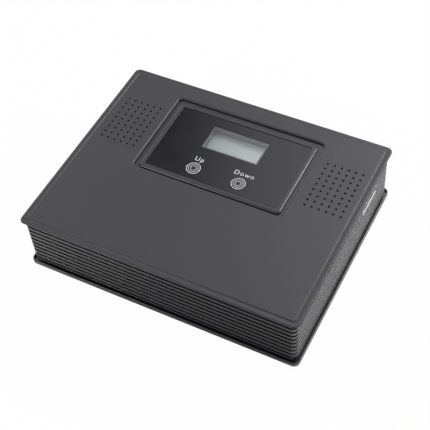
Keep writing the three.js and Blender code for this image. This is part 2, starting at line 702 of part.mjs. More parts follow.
function makeFrame() {
  const flange = plate({
    width: OPENING_WIDTH + 2 * FRAME_FLANGE, depth: OPENING_DEPTH + 2 * FRAME_FLANGE,
    corner: OPENING_CORNER + FRAME_FLANGE / 2, x: FACE_X, y: openingY,
    z0: frameFloorBottom, z1: frameFloorTop,
  });
  const frameTop = lidTop + FRAME_PROUD;
  const raised = plate({
    width: FRAME_WIDTH, depth: FRAME_DEPTH, corner: FRAME_CORNER, x: FACE_X, y: frameY,
    z0: frameTop - 2 * (frameTop - frameFloorTop), z1: frameTop, bevel: FRAME_SLOPE,
  });
  const belowFlange = block(-CASE_WIDTH, CASE_WIDTH, -CASE_DEPTH, CASE_DEPTH, 0, frameFloorTop - SINK);
  const pocket = plate({
    width: PANEL_WIDTH + 2 * SEAT, depth: PANEL_DEPTH + 2 * SEAT, corner: PANEL_CORNER,
    x: FACE_X, y: panelY, z0: frameFloorTop, z1: lidTop + PAST,
  });
  const windowHole = plate({
    width: WINDOW_WIDTH, depth: WINDOW_DEPTH, corner: WINDOW_CORNER, x: windowX, y: windowY,
    z0: frameFloorBottom - PAST, z1: frameFloorTop + PAST,
  });
  const through = [frameFloorBottom - PAST, frameFloorTop + PAST];
  const keyHoles = keyXs.map((x) =>
    rodUp(KEY_FLANGE_RADIUS + SEAT, x, keyY, ...through, ROUND_SIDES));
  const stakeZ = displayBoardBottom - SEAT;
  const posts = displayPostPlaces().flatMap(([x, y]) => [
    rodUp(DISPLAY_POST_RADIUS, x, y, displayBoardTop + SEAT, frameFloorBottom + SINK),
    rodUp(STAKE.shank, x, y, stakeZ - STAKE.top / 2, frameFloorBottom, BORE_SIDES),
    rodUp(STAKE.head, x, y, stakeZ - STAKE.top, stakeZ, SCREW_SIDES),
  ]);
  const pinHoles = framePinPlaces().map(([x, y]) =>
    rodUp(STAKE.shank + SCREW_GAP, x, y, ...through, BORE_SIDES));
  const standing = cut(raised, belowFlange, pocket);
  const whole = cut(join(flange, standing, posts), windowHole, keyHoles, pinHoles);
  add('display_frame', whole, finishes.framePlastic);
}

function displayPostPlaces() {
  return corners.map(([sx, sy]) => [
    FACE_X + sx * (DISPLAY_BOARD_WIDTH / 2 - DISPLAY_POST_INSET),
    panelY + sy * (DISPLAY_BOARD_DEPTH / 2 - DISPLAY_POST_INSET),
  ]);
}

function makePanel() {
  const sheet = plate({
    width: PANEL_WIDTH, depth: PANEL_DEPTH, corner: PANEL_CORNER, x: FACE_X, y: panelY,
    z0: panelBottom, z1: panelTop,
  });
  const windowHole = plate({
    width: WINDOW_WIDTH, depth: WINDOW_DEPTH, corner: WINDOW_CORNER, x: windowX, y: windowY,
    z0: panelBottom - PAST, z1: panelTop + PAST,
  });
  const keyHoles = keyXs.map((x) =>
    rodUp(KEY_RADIUS + SEAT, x, keyY, panelBottom - PAST, panelTop + PAST, ROUND_SIDES));
  add('display_panel', cut(sheet, windowHole, keyHoles), finishes.glossPanel);
}

function makeWindow() {
  const collarWidth = WINDOW_WIDTH - 2 * SEAT;
  const collarDepth = WINDOW_DEPTH - 2 * SEAT;
  const sightWidth = collarWidth - 2 * WINDOW_WALL;
  const sightDepth = collarDepth - 2 * WINDOW_WALL;
  const place = { x: windowX, y: windowY };
  const collar = plate({
    width: collarWidth, depth: collarDepth, corner: WINDOW_CORNER - SEAT, ...place,
    z0: cellTop + SEAT, z1: panelTop - SEAT / 2,
  });
  const foot = plate({
    width: collarWidth + 2 * WINDOW_FLANGE, depth: collarDepth + 2 * WINDOW_FLANGE, corner: WINDOW_CORNER,
    ...place, z0: cellTop + SEAT, z1: frameFloorBottom - SEAT,
  });
  const sight = plate({
    width: sightWidth, depth: sightDepth, corner: SIGHT_CORNER, ...place, z0: 0, z1: lidTop,
  });
  add('window_frame', cut(join(collar, foot), sight), finishes.paleFrame);
  const lensTop = panelTop - LENS_SINK;
  const lensX = sightWidth / 2 - SEAT;
  const lensY = sightDepth / 2 - SEAT;
  add('window_lens', block(
    windowX - lensX, windowX + lensX, windowY - lensY, windowY + lensY, lensTop - LENS_THICKNESS, lensTop,
  ), finishes.lensClear);
}

function makeDisplay() {
  const glass = block(
    windowX - CELL_WIDTH / 2, windowX + CELL_WIDTH / 2, windowY - CELL_DEPTH / 2, windowY + CELL_DEPTH / 2,
    cellBottom, cellTop,
  );
  const legs = [];
  for (let i = 0; i < CELL_LEGS; i += 1) {
    for (const side of [-1, 1]) {
      const x = windowX + (i - (CELL_LEGS - 1) / 2) * CELL_LEG_PITCH;
      const y = windowY + side * (CELL_DEPTH / 2 - CELL_LEG_THICKNESS);
      legs.push(block(
        x - CELL_LEG_WIDTH / 2, x + CELL_LEG_WIDTH / 2,
        y - CELL_LEG_THICKNESS / 2, y + CELL_LEG_THICKNESS / 2,
        displayBoardTop + SEAT, cellBottom + SINK,
      ));
    }
  }
  add('display_cell', join(glass, legs), finishes.displayGlass);
  const guideX = CELL_WIDTH / 2 - GUIDE_MARGIN_X;
  const guideY = CELL_DEPTH / 2 - GUIDE_MARGIN_Y;
  const guideBottom = guideTop - GUIDE_THICKNESS;
  add('display_light_guide', block(
    windowX - guideX, windowX + guideX, windowY - guideY, windowY + guideY, guideBottom, guideTop,
  ), finishes.whiteGuide);
}

function makeDisplayBoard() {
  const board = plate({
    width: DISPLAY_BOARD_WIDTH, depth: DISPLAY_BOARD_DEPTH, corner: BOARD_CORNER, x: FACE_X, y: panelY,
    z0: displayBoardBottom, z1: displayBoardTop,
  });
  const holes = displayPostPlaces().map(([x, y]) =>
    rodUp(STAKE.shank + SCREW_GAP, x, y, 0, lidTop, BORE_SIDES));
  add('display_board', cut(board, holes), finishes.boardGreen);
}

function makeKeys() {
  const switchBottom = displayBoardTop + SEAT;
  const switchTop = switchBottom + SWITCH_HEIGHT;
  const plungerTop = switchTop + PLUNGER_PROUD;
  const socketFloor = switchTop - PLUNGER_SOCKET;
  ['up', 'down'].forEach((name, index) => {
    const x = keyXs[index];
    const flangeTopZ = panelBottom - SEAT;
    const flangeBottomZ = flangeTopZ - KEY_CAP_THICKNESS;
    add(`key_${name}`, turned([
      [0, plungerTop + SEAT], [KEY_STEM_RADIUS, plungerTop + SEAT], [KEY_STEM_RADIUS, flangeBottomZ],
      [KEY_FLANGE_RADIUS, flangeBottomZ], [KEY_FLANGE_RADIUS, flangeTopZ], [KEY_RADIUS, flangeTopZ],
      [KEY_RADIUS, panelTop], [0, panelTop],
    ], x, keyY), finishes.glossPanel);
    const plungerBottom = socketFloor + KEY_TRAVEL + SEAT;
    const plunger = rodUp(PLUNGER_RADIUS, x, keyY, plungerBottom, plungerTop, ROUND_SIDES);
    add(`switch_plunger_${name}`, plunger, finishes.innerPlastic);
    const half = SWITCH_SIZE / 2;
    const housing = block(x - half, x + half, keyY - half, keyY + half, switchBottom, switchTop);
    const socket = rodUp(PLUNGER_RADIUS + SEAT, x, keyY, socketFloor, switchTop + PAST, ROUND_SIDES);
    add(`key_switch_${name}`, cut(housing, socket), finishes.innerPlastic);
  });
}

function makeRibbon() {
  const x = FACE_X + PLUG_OFFSET_X;
  const upperY = panelY + PLUG_OFFSET_Y;
  const lowerY = upperY + RIBBON_REACH;
  const upperTop = displayBoardBottom - SEAT;
  const upperBottom = upperTop - PLUG_HEIGHT;
  const lowerTop = partsSeat + PLUG_HEIGHT;
  const halfWidth = PLUG_WIDTH / 2;
  const halfDepth = PLUG_DEPTH / 2;
  const plug = (y, z0, z1) => block(x - halfWidth, x + halfWidth, y - halfDepth, y + halfDepth, z0, z1);
  const start = upperBottom + PLUG_GRIP;
  const end = lowerTop - PLUG_GRIP;
  const sway = (start - end) / 2;
  const route = [[upperY, start], [upperY, start - sway], [lowerY, end + sway], [lowerY, end]];
  const ribbon = strip(route, RIBBON_WIDTH, RIBBON_THICKNESS);
  const placed = ribbon.rotateZ(Math.PI / 2).translate(x, 0, 0);
  const whole = join(placed, plug(upperY, upperBottom, upperTop), plug(lowerY, partsSeat, lowerTop));
  add('display_ribbon', whole, finishes.ribbonGrey);
}

// Main board and the parts on it

function makeMainBoard() {
  const board = plate({
    width: boardRight - boardLeft, depth: boardBack - boardFront, corner: BOARD_CORNER,
    x: (boardLeft + boardRight) / 2, y: (boardFront + boardBack) / 2, z0: boardBottom, z1: boardTop,
  });
  const holes = standoffPlaces().map(([x, y]) =>
    rodUp(BOARD_SCREW.shank + SCREW_GAP, x, y, 0, lidTop, BORE_SIDES));
  add('main_board', cut(board, holes), finishes.boardGreen);
  const one = screw(BOARD_SCREW, BOARD_THICKNESS + BOARD_SCREW_BITE).rotate([180, 0, 0]);
  standoffPlaces().forEach(([x, y], index) => {
    add(`board_screw_${cornerNames[index]}`, one.translate([x, y, partsSeat]), finishes.steel);
  });
}

function relayX(index) {
  return boardLeft + RELAY_FIRST_X + index * (RELAY_WIDTH + RELAY_GAP);
}

function makeRelaysAndCapacitors() {
  const firstX = relayX(0);
  const lastX = relayX(RELAY_COUNT - 1);
  const footTop = partsSeat + RELAY_FOOT;
  const foot = (y, depth) => block(firstX, lastX, y - depth / 2, y + depth / 2, partsSeat, footTop);
  const rows = { inductor_relays: 0, capacitor_relays: 1 };
  for (const [name, row] of Object.entries(rows)) {
    const y = boardFront + RELAY_FIRST_Y + row * (RELAY_LENGTH + RELAY_ROW_GAP);
    const relays = [];
    for (let i = 0; i < RELAY_COUNT; i += 1) {
      const x = relayX(i);
      relays.push(block(
        x - RELAY_WIDTH / 2, x + RELAY_WIDTH / 2, y - RELAY_LENGTH / 2, y + RELAY_LENGTH / 2,
        partsSeat, partsSeat + RELAY_HEIGHT,
      ));
    }
    add(name, join(relays, foot(y, RELAY_LENGTH / 2)), finishes.relayCase);
  }
  const relaysBack = boardFront + RELAY_FIRST_Y + 1.5 * RELAY_LENGTH + RELAY_ROW_GAP;
  const capacitorY = relaysBack + CAPACITOR_GAP + CAPACITOR_DEPTH / 2;
  const capacitors = [];
  for (let i = 0; i < RELAY_COUNT; i += 1) {
    const x = relayX(i);
    capacitors.push(block(
      x - CAPACITOR_WIDTH / 2, x + CAPACITOR_WIDTH / 2, capacitorY - CAPACITOR_DEPTH / 2,
      capacitorY + CAPACITOR_DEPTH / 2, partsSeat, partsSeat + CAPACITOR_HEIGHT,
    ));
  }
  add('tuning_capacitors', join(capacitors, foot(capacitorY, CAPACITOR_DEPTH / 2)), finishes.capacitorBrown);
}

// A wound ring lying flat: the wire's turns show as flutes round the outside.
function coil(radius, x, y) {
  const height = radius * COIL_HEIGHT_SHARE;
  const outline = new THREE.Shape();
  const flute = radius * Math.PI / COIL_TURNS / 4;
  const steps = COIL_TURNS * 2;
  for (let i = 0; i < steps; i += 1) {
    const angle = (i / steps) * 2 * Math.PI;
    const reach = radius - (i % 2 ? flute : 0);
    const point = [reach * Math.cos(angle), reach * Math.sin(angle)];
    if (i === 0) outline.moveTo(...point);
    else outline.lineTo(...point);
  }
  const bore = new THREE.Path();
  bore.absarc(0, 0, radius * COIL_BORE_SHARE, 0, 2 * Math.PI);
  outline.holes.push(bore);
  const bevel = height / 8;
  const geometry = new THREE.ExtrudeGeometry(outline, {
    depth: height - 2 * bevel,
    curveSegments: SMALL_SIDES / 2,
    bevelThickness: bevel,
    bevelSize: bevel,
    bevelOffset: -bevel,
    bevelSegments: 1,
  });
  return geometry.translate(x, y, partsSeat + bevel);
}

function makeCoils() {
  const afterRelays = relayX(RELAY_COUNT - 1) + RELAY_WIDTH / 2 + COIL_GAP;
  const largeX = afterRelays + COIL_LARGE_RADIUS;
  const largeY = boardFront + COIL_GAP / 2 + STANDOFF_INSET + COIL_LARGE_RADIUS;
  const mediumY = largeY + COIL_LARGE_RADIUS + COIL_GAP + COIL_MEDIUM_RADIUS;
  const smallX = largeX + COIL_LARGE_RADIUS + COIL_GAP / 2 + COIL_SMALL_RADIUS;
  add('coil_large', coil(COIL_LARGE_RADIUS, largeX, largeY), finishes.copperCoil);
  add('coil_medium', coil(COIL_MEDIUM_RADIUS, largeX, mediumY), finishes.copperCoil);
  add('coil_small', coil(COIL_SMALL_RADIUS, smallX, mediumY), finishes.copperCoil);
}

function makeSmallParts() {
  const x = SOCKET_X[1];
  const shieldY = leadY - SHIELD_BEHIND - SHIELD_DEPTH / 2;
  const halfWidth = SHIELD_WIDTH / 2;
  const halfDepth = SHIELD_DEPTH / 2;
  const can = block(
    x - halfWidth, x + halfWidth, shieldY - halfDepth, shieldY + halfDepth,
    partsSeat, partsSeat + SHIELD_HEIGHT,
  );
  const hollow = block(
    x - halfWidth + SHIELD_WALL, x + halfWidth - SHIELD_WALL, shieldY - halfDepth + SHIELD_WALL,
    shieldY + halfDepth - SHIELD_WALL, 0, partsSeat + SHIELD_HEIGHT - SHIELD_WALL,
  );
  add('sensor_shield', cut(can, hollow), finishes.nickel);
  const chipX = relayX(1);
  const half = CHIP_SIZE / 2;
  const slab = (halfX, halfY, z0, z1) =>
    block(chipX - halfX, chipX + halfX, shieldY - halfY, shieldY + halfY, partsSeat + z0, partsSeat + z1);
  add('controller_chip', join(
    slab(half, half, SINK, CHIP_THICKNESS),
    slab(half + CHIP_LEG_REACH, half - CHIP_LEG_REACH, 0, CHIP_LEG_THICKNESS),
    slab(half - CHIP_LEG_REACH, half + CHIP_LEG_REACH, 0, CHIP_LEG_THICKNESS),
  ), finishes.chipBlack);
  const regulatorX = x + halfWidth + 2 * SUPPLY_RADIUS;
  const regulatorY = shieldY;
  const regulatorBack = regulatorY + REGULATOR_DEPTH;
  const regulatorBottom = partsSeat + REGULATOR_LIFT;
  const regulatorTop = regulatorBottom + REGULATOR_HEIGHT;
  const regulatorSides = [regulatorX - REGULATOR_WIDTH / 2, regulatorX + REGULATOR_WIDTH / 2];
  const halfLeg = REGULATOR_LEG_WIDTH / 2;
  const legY = regulatorY + REGULATOR_DEPTH / 2;
  const legXs = [-1, 0, 1].map((place) => regulatorX + place * REGULATOR_LEG_PITCH);
  add('voltage_regulator', join(
    block(...regulatorSides, regulatorY, regulatorBack, regulatorBottom, regulatorTop),
    block(
      ...regulatorSides, regulatorBack - REGULATOR_TAB_THICKNESS, regulatorBack,
      regulatorTop - PAST, regulatorTop + REGULATOR_TAB_RISE,
    ),
    legXs.map((legX) => block(
      legX - halfLeg, legX + halfLeg, legY - halfLeg, legY + halfLeg, partsSeat, regulatorBottom + PAST,
    )),
  ), finishes.chipBlack);
  const supplyX = regulatorX + 2 * SUPPLY_RADIUS;
  const supplyTop = partsSeat + SUPPLY_HEIGHT;
  add('supply_capacitor', turned([
    [0, partsSeat], [SUPPLY_RADIUS, partsSeat], [SUPPLY_RADIUS, supplyTop - SUPPLY_BEVEL],
    [SUPPLY_RADIUS - SUPPLY_BEVEL, supplyTop], [0, supplyTop],
  ], supplyX, regulatorY, SMALL_SIDES + 2), finishes.sleeveBlue);
}

// Rear panel, sockets, ground terminal and power jack

function makeRearPanel() {
  const sheet = block(
    -REAR_WIDTH / 2, REAR_WIDTH / 2, rearInnerY, rearFaceY, rearZ - REAR_HEIGHT / 2, rearZ + REAR_HEIGHT / 2,
  );
  const through = [rearInnerY - PAST, rearFaceY + PAST];
  const socketHoles = SOCKET_X.map((x) =>
    rodBack(SOCKET_BARREL_RADIUS + SEAT, x, rearZ, ...through, ROUND_SIDES));
  const screwHoles = rearScrewPlaces().map(([x, z]) =>
    rodBack(PANEL_SCREW.shank + SCREW_GAP, x, z, ...through, BORE_SIDES));
  const studHole = rodBack(STUD_RADIUS + SCREW_GAP, GROUND_X, rearZ, ...through);
  const jackHole = rodBack(JACK_BUSH_RADIUS + SEAT, JACK_X, rearZ, ...through);
  add('rear_panel', cut(sheet, socketHoles, screwHoles, studHole, jackHole), finishes.rearPaint);
  const one = screw(PANEL_SCREW, rearSeatY - rearInnerY + PANEL_SCREW_BITE).rotate([90, 0, 0]);
  rearScrewPlaces().forEach(([x, z], index) => {
    add(`rear_panel_screw_${['left', 'right'][index]}`, one.translate([x, rearSeatY, z]), finishes.steel);
  });
}

function makeSockets() {
  const flangeBackY = rearInnerY - SEAT;
  const flangeFrontY = flangeBackY - SOCKET_FLANGE_THICKNESS;
  const neckY = flangeFrontY - SOCKET_NECK_LENGTH;
  const contactFrontY = neckY - CONTACT_TAIL;
  const contactTipY = socketTipY - CONTACT_SETBACK;
  const insulatorFrontY = neckY - INSULATOR_TAIL;
  const insulatorTipY = socketTipY - INSULATOR_SETBACK;
  const nutEndY = rearSeatY + SOCKET_NUT_THICKNESS;
  ['rf_output', 'rf_input'].forEach((name, index) => {
    const x = SOCKET_X[index];
    const outer = join(
      rodBack(SOCKET_NECK_RADIUS, x, rearZ, neckY, flangeBackY, ROUND_SIDES),
      rodBack(SOCKET_FLANGE_RADIUS, x, rearZ, flangeFrontY, flangeBackY, ROUND_SIDES),
      rodBack(SOCKET_BARREL_RADIUS, x, rearZ, flangeFrontY + PAST, socketTipY, ROUND_SIDES),
    );
    const bore = rodBack(SOCKET_BORE_RADIUS, x, rearZ, neckY - PAST, socketTipY + PAST, ROUND_SIDES);
    add(`${name}_shell`, cut(outer, bore), finishes.nickel);
    add(`${name}_nut`, cut(
      rodBack(SOCKET_NUT_RADIUS, x, rearZ, rearSeatY, nutEndY, 6),
      rodBack(SOCKET_BARREL_RADIUS + SEAT, x, rearZ, rearSeatY - PAST, nutEndY + PAST, ROUND_SIDES),
    ), finishes.nickel);
    add(`${name}_insulator`, cut(
      rodBack(SOCKET_BORE_RADIUS - SEAT, x, rearZ, insulatorFrontY, insulatorTipY, ROUND_SIDES),
      rodBack(CONTACT_RADIUS + SEAT, x, rearZ, insulatorFrontY - PAST, insulatorTipY + PAST),
    ), finishes.fluorine);
    const left = x - LEAD_WIDTH / 2;
    const right = x + LEAD_WIDTH / 2;
    const lead = join(
      block(
        left, right, leadY, contactFrontY + PAST, rearZ - LEAD_THICKNESS / 2, rearZ + LEAD_THICKNESS / 2,
      ),
      block(left, right, leadY, leadY + LEAD_THICKNESS, partsSeat, rearZ),
    );
    const tube = cut(
      rodBack(CONTACT_RADIUS, x, rearZ, contactFrontY, contactTipY),
      rodBack(CONTACT_BORE_RADIUS, x, rearZ, contactTipY - CONTACT_BORE_DEPTH, contactTipY + PAST),
    );
    add(`${name}_contact`, join(tube, lead), finishes.brass);
  });
}

function makeGroundTerminal() {
  const headY = rearInnerY - SEAT - STUD_HEAD_THICKNESS;
  const endY = rearFaceY + STUD_LENGTH;
  const nutY = rearSeatY;
  add('ground_stud', join(
    rodBack(STUD_HEAD_RADIUS, GROUND_X, rearZ, headY, headY + STUD_HEAD_THICKNESS, 6),
    rodBack(STUD_RADIUS, GROUND_X, rearZ, headY + PAST, endY),
  ), finishes.brass);
  add('ground_nut', cut(
    rodBack(STUD_NUT_RADIUS, GROUND_X, rearZ, nutY, nutY + STUD_NUT_THICKNESS, 6),
    rodBack(STUD_RADIUS + SEAT, GROUND_X, rearZ, nutY - PAST, endY + PAST),
  ), finishes.brass);
}

function makePowerJack() {
  const bodyBackY = rearInnerY - SEAT;
  const bodyFrontY = bodyBackY - JACK_BODY_LENGTH;
  const mouthY = rearFaceY + JACK_PROUD;
  const body = join(
    rodBack(JACK_BODY_RADIUS, JACK_X, rearZ, bodyFrontY, bodyBackY),
    rodBack(JACK_BUSH_RADIUS, JACK_X, rearZ, bodyBackY - PAST, mouthY),
  );
  const floorY = bodyFrontY + JACK_FLOOR;
  const bore = rodBack(JACK_BORE_RADIUS, JACK_X, rearZ, floorY, mouthY + PAST);
  const pin = rodBack(JACK_PIN_RADIUS, JACK_X, rearZ, floorY - PAST, mouthY - JACK_PIN_SETBACK, BORE_SIDES);
  add('power_jack', join(cut(body, bore), pin), finishes.innerPlastic);
  const wireStart = bodyFrontY - SEAT;
  const wireEnd = leadY;
  const route = [[wireStart, rearZ], [wireStart - WIRE_BOW, rearZ], [wireEnd, rearZ], [wireEnd, partsSeat]];
  const lead = strip(route, WIRE_WIDTH, WIRE_THICKNESS);
  add('power_lead', lead.rotateZ(Math.PI / 2).translate(JACK_X, 0, 0), finishes.sleeveBlue);
  const nutY = rearSeatY;
  add('power_jack_nut', cut(
    rodBack(JACK_NUT_RADIUS, JACK_X, rearZ, nutY, nutY + JACK_NUT_THICKNESS, 6),
    rodBack(JACK_BUSH_RADIUS + SEAT, JACK_X, rearZ, nutY - PAST, mouthY + PAST),
  ), finishes.nickel);
}

// Control port in the right wall

function makeControlPort() {
  const halfWidth = PORT_WIDTH / 2;
  const halfHeight = PORT_HEIGHT / 2;
  const shell = block(
    portShellBackX, portMouthX, portY - halfWidth - PORT_WALL, portY + halfWidth + PORT_WALL,
    portZ - halfHeight - PORT_LIP, portZ + halfHeight + PORT_WALL,
  );
  const inside = block(
    portShellBackX - PAST, portMouthX + PAST, portY - halfWidth, portY + halfWidth,
    portZ - halfHeight, portZ + halfHeight,
  );
  add('control_port_shell', cut(shell, inside), finishes.nickel);
  add('control_port_insert', block(
    portShellBackX + SEAT, portMouthX - PORT_CAVITY, portY - halfWidth + SEAT, portY + halfWidth - SEAT,
    portZ - halfHeight + SEAT, portZ + halfHeight - SEAT,
  ), finishes.innerPlastic);
  const boardZ = portZ - PORT_BOSS_DROP;
  const board = block(
    portBoardX - BOARD_THICKNESS, portBoardX, portY - PORT_BOARD_WIDTH / 2, portY + PORT_BOARD_WIDTH / 2,
    boardZ - PORT_BOARD_HEIGHT / 2, boardZ + PORT_BOARD_HEIGHT / 2,
  );
  const through = [portBoardX - BOARD_THICKNESS - PAST, portBoardX + PAST];
  const holes = portBossPlaces().map(([y, z]) =>
    rodRight(STAKE.shank + SCREW_GAP, y, z, ...through, BORE_SIDES));
  add('control_port_board', cut(board, holes), finishes.boardGreen);
  const startX = portBoardX - BOARD_THICKNESS - SEAT;
  const startZ = boardZ - PORT_LEAD_DROP;
  const middleX = (startX + boardRight) / 2;
  const endX = boardRight - PORT_LEAD_DROP;
  const lead = strip([[startX, startZ], [middleX, startZ], [endX, startZ], [endX, partsSeat]],
    PORT_LEAD_WIDTH, RIBBON_THICKNESS);
  add('control_port_ribbon', lead.translate(0, portY - PORT_LEAD_SHIFT, 0), finishes.ribbonGrey);
}

makeBase();
makeFeet();
makeCaseScrews();
makeBody();
makeLid();
makeFrame();
makePanel();
makeWindow();
makeDisplay();
makeDisplayBoard();
makeKeys();
makeRibbon();
makeMainBoard();
makeRelaysAndCapacitors();
makeCoils();
makeSmallParts();
makeRearPanel();
makeSockets();
makeGroundTerminal();
makePowerJack();
makeControlPort();

export default tuner;
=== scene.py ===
"""The looks of a desktop antenna tuner: case, display, keys, sockets and inner parts."""

import math

import bmesh
import bpy
from mathutils import Matrix, Vector


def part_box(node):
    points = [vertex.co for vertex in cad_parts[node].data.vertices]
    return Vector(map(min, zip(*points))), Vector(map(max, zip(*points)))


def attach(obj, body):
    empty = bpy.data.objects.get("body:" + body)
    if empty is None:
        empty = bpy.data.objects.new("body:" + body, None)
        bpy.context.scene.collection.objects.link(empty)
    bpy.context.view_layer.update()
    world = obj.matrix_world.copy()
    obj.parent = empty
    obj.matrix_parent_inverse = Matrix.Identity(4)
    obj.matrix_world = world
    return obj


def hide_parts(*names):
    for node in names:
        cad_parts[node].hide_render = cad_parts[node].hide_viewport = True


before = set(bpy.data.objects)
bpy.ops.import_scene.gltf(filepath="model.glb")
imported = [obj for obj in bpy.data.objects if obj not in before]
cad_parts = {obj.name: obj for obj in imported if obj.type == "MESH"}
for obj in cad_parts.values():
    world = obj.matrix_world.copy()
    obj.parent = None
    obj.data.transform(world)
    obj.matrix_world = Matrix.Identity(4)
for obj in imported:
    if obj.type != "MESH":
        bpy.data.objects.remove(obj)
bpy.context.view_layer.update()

# Shapes are modelled in millimetres and brought to metres when a piece is finished
MM = 0.001
ARC = 8
ROUND = 48
SHARP_FROM = 38
CORNERS = ("front_left", "front_right", "back_left", "back_right")
QUARTERS = ((-1, -1), (1, -1), (-1, 1), (1, 1))
KEYS = ("up", "down")

# A hair's breadth for finding edges, how far a tool goes past what it cuts, and the gap between seated parts
NEAR = 0.01
PAST = 1
SEAT = 0.3

# Camera of the photograph, in metres, degrees and millimetres of lens on a full-frame sensor
CAMERA_PLACE = (0.28048, -0.46351, 0.67706)
CAMERA_AIM = (0.01966, -0.03363, 0.05748)
CAMERA_ROLL = -5.438
CAMERA_LENS = 86.0
SENSOR_WIDTH = 36.0
PICTURE_WIDTH = 430
CAMERA_SHIFT = (-0.5 / PICTURE_WIDTH, 0.5 / PICTURE_WIDTH)

# Soft lamps: place and size in metres, power in watts
LAMP_AIM = (0, 0, 0.03)
LAMPS = {
    "back_softbox": ((0.27, 0.92, 1.05), 0.9, 5.8),
    "right_strip": ((0.80, 0.60, 0.42), 0.22, 2.6),
    "left_strip": ((-0.85, 0.57, 0.25), 0.36, 1.3),
    "front_left_softbox": ((-0.42, -0.72, 0.50), 0.2, 1.7),
}

# Room light: strengths of the low backdrop and of the room overhead, and the heights where the backdrop ends
ROOM_LOW = 0.09
ROOM_HIGH = 0.30
BACKDROP_TOP = (0.20, 0.50)

# Bright walls of the studio: aim, cosines of the outer and inner edge, strength
BRIGHT_WALLS = [
    ((0.112, 0.633, 0.766), 0.850, 0.937, 1.65),
    ((-0.664, 0.242, 0.707), 0.883, 0.978, 1.30),
    ((-0.87, 0.41, 0.26), 0.80, 0.95, 1.30),
    ((0.25, -0.10, 0.96), 0.90, 0.98, 1.4),
]

# Floor: size and places in metres, and how far it goes to white to the eye
FLOOR_SIZE = 12
FLOOR_TONES = ((0.72, 0.72, 0.72, 1.0), (0.75, 0.75, 0.75, 1.0))
FLOOR_WHITENING = 0.97
DARK_FLOOR_MIDDLE = (0.06, 0.0, 0.0)
NEAR_FLOOR = (0.14, 0.30)
LIT_FLOOR_RIGHT = (0.116, 0.120)
WHITE = (1.0, 1.0, 1.0, 1.0)
BLACK = (0.0, 0.0, 0.0, 1.0)

# Case, in millimetres
CASE_CORNER = 5
LID_RIM_WIDTH = 4.15
LID_RIM_FLAT = 1.1
LID_RIM_STEP = 0.5
LID_RIM_SLOPE = 0.8
LID_RIM_DISH = 0.2
LID_EDGE = 0.9
LID_FOOT_EDGE = 0.3
LID_SKIRT_DROP = 3
LID_SKIRT_WALL = 1.6
RAISED_CORNER = 2
RAISED_EDGE = 0.5
WALL = 3
BODY_INSET = 2.4
RIB_COUNT = 10
RIB_PITCH = 4.93
RIB_HEIGHT = 2.8
BOTTOM_RIB_HEIGHT = 2.2
RIB_EDGE = 0.4
GROOVE_DEPTH = 2.2
PANEL_BORDER = 6
FLANGE_THICKNESS = 1.3
LIP_RISE = 2.5
LIP_THICKNESS = 1
LIP_ROUND = 0.7
PLINTH_INSET = 6
PLINTH_BORDER = 6
FLOOR_THICKNESS = 2.5

# Vent fields, in millimetres
VENT_RADIUS = 0.85
VENT_EDGE = 0.3
VENT_COLUMNS = 6
VENT_ROWS = 9
VENT_PITCH_X = 6.07
VENT_PITCH_Y = 5.81
VENT_CENTRE_OFFSET = 92.3
VENT_BACK_MARGIN = 36.7

# Display opening, frame and panel, in millimetres
OPENING_WIDTH = 134.8
OPENING_DEPTH = 83.4
OPENING_CORNER = 4
OPENING_BACK_MARGIN = 18
OPENING_EDGE = 1.4
FRAME_WIDTH = 126.8
FRAME_DEPTH = 77.6
FRAME_CORNER = 3.5
FRAME_FLANGE_CORNER = 7
FRAME_SHIFT_Y = -1.6
FRAME_EDGE = 1.2
FRAME_FLOOR = 1.6
PANEL_CORNER = 2
SIGHT_WIDTH = 48.6
SIGHT_DEPTH = 23.2
WINDOW_WALL = 0.7
CELL_THICKNESS = 2.8
LOWER_GLASS = 1.3
FILM = 0.25
CONTACT_LEDGE = 2.2
DISPLAY_LEG_PAIRS = 6
DISPLAY_LEG_PITCH = 9

# Keys and printing, in millimetres
KEY_RADIUS = 6.3
KEY_STEM = 2.5
KEY_FLANGE = 7.8
KEY_FLANGE_THICKNESS = 1.2
RING_PRINTS = [(2.05, 2.4), (3.7, 4.1), (5.4, 5.95)]
PRINT_RISE = 0.03
PRINT_SINK = 0.03
WORD_SIZE = 6.3
WORD_SPACING = 1.2
WORD_WEIGHT = 0.0
WORD_RISE = 8.4
WORD_SHIFT = 0.4

# Posts, pins and screw holes, in millimetres. A screw is its head's radius and rise, its shank and its pitch
FRAME_PIN_OUT = 2.9
STAKE_SHANK = 1.3
STAKE_HEAD = 2.6
STAKE_HEAD_THICKNESS = 1
POST_INSET = 4
POST_RADIUS = 3
PILLAR_RADIUS = 6
LID_BOSS_LENGTH = 8.4
LID_BOSS_RADIUS = 4
LID_BOSS_BORE = 2.15
STANDOFF_RADIUS = 3.5
HOLE_GAP = 0.3
CASE_SCREW_SHANK = 1.8
CASE_SCREW = (3.4, 1.7, CASE_SCREW_SHANK, 1.2)
CASE_SCREW_HEAD = 3.5
CASE_SCREW_SINK = 2.2
BOARD_SCREW_SHANK = 1.1
BOARD_SCREW = (2.5, 1.5, BOARD_SCREW_SHANK, 0.8)
BOARD_SCREW_BITE = 6
REAR_SCREW = (2.8, 1.6, 1.2, 0.8)
PEG_RADIUS = 2.5
PEG_LENGTH = 2
PORT_BOSS_SPACING = 36

# Sockets, inlet, earth stud and port, in millimetres. A thread is its pitch and depth
SOCKET_RADIUS = 7.95
SOCKET_BORE = 5.8
SOCKET_FLANGE = 10
SOCKET_TAIL = 7
SOCKET_THREAD = (1.06, 0.55)
RING_NUT = 11.5
STUD_RADIUS = 2.5
STUD_THREAD = (0.8, 0.4)
STUD_NUT = 4.6
INLET_RADIUS = 4
INLET_SHOULDER = 11
INLET_THREAD = (0.75, 0.3)
INLET_NUT = 6
PORT_LIP = 3.2
PORT_WALL = 0.6
PORT_TONGUE_SETBACK = 4
PORT_CONTACTS = 12
PORT_CONTACT_PITCH = 1.9

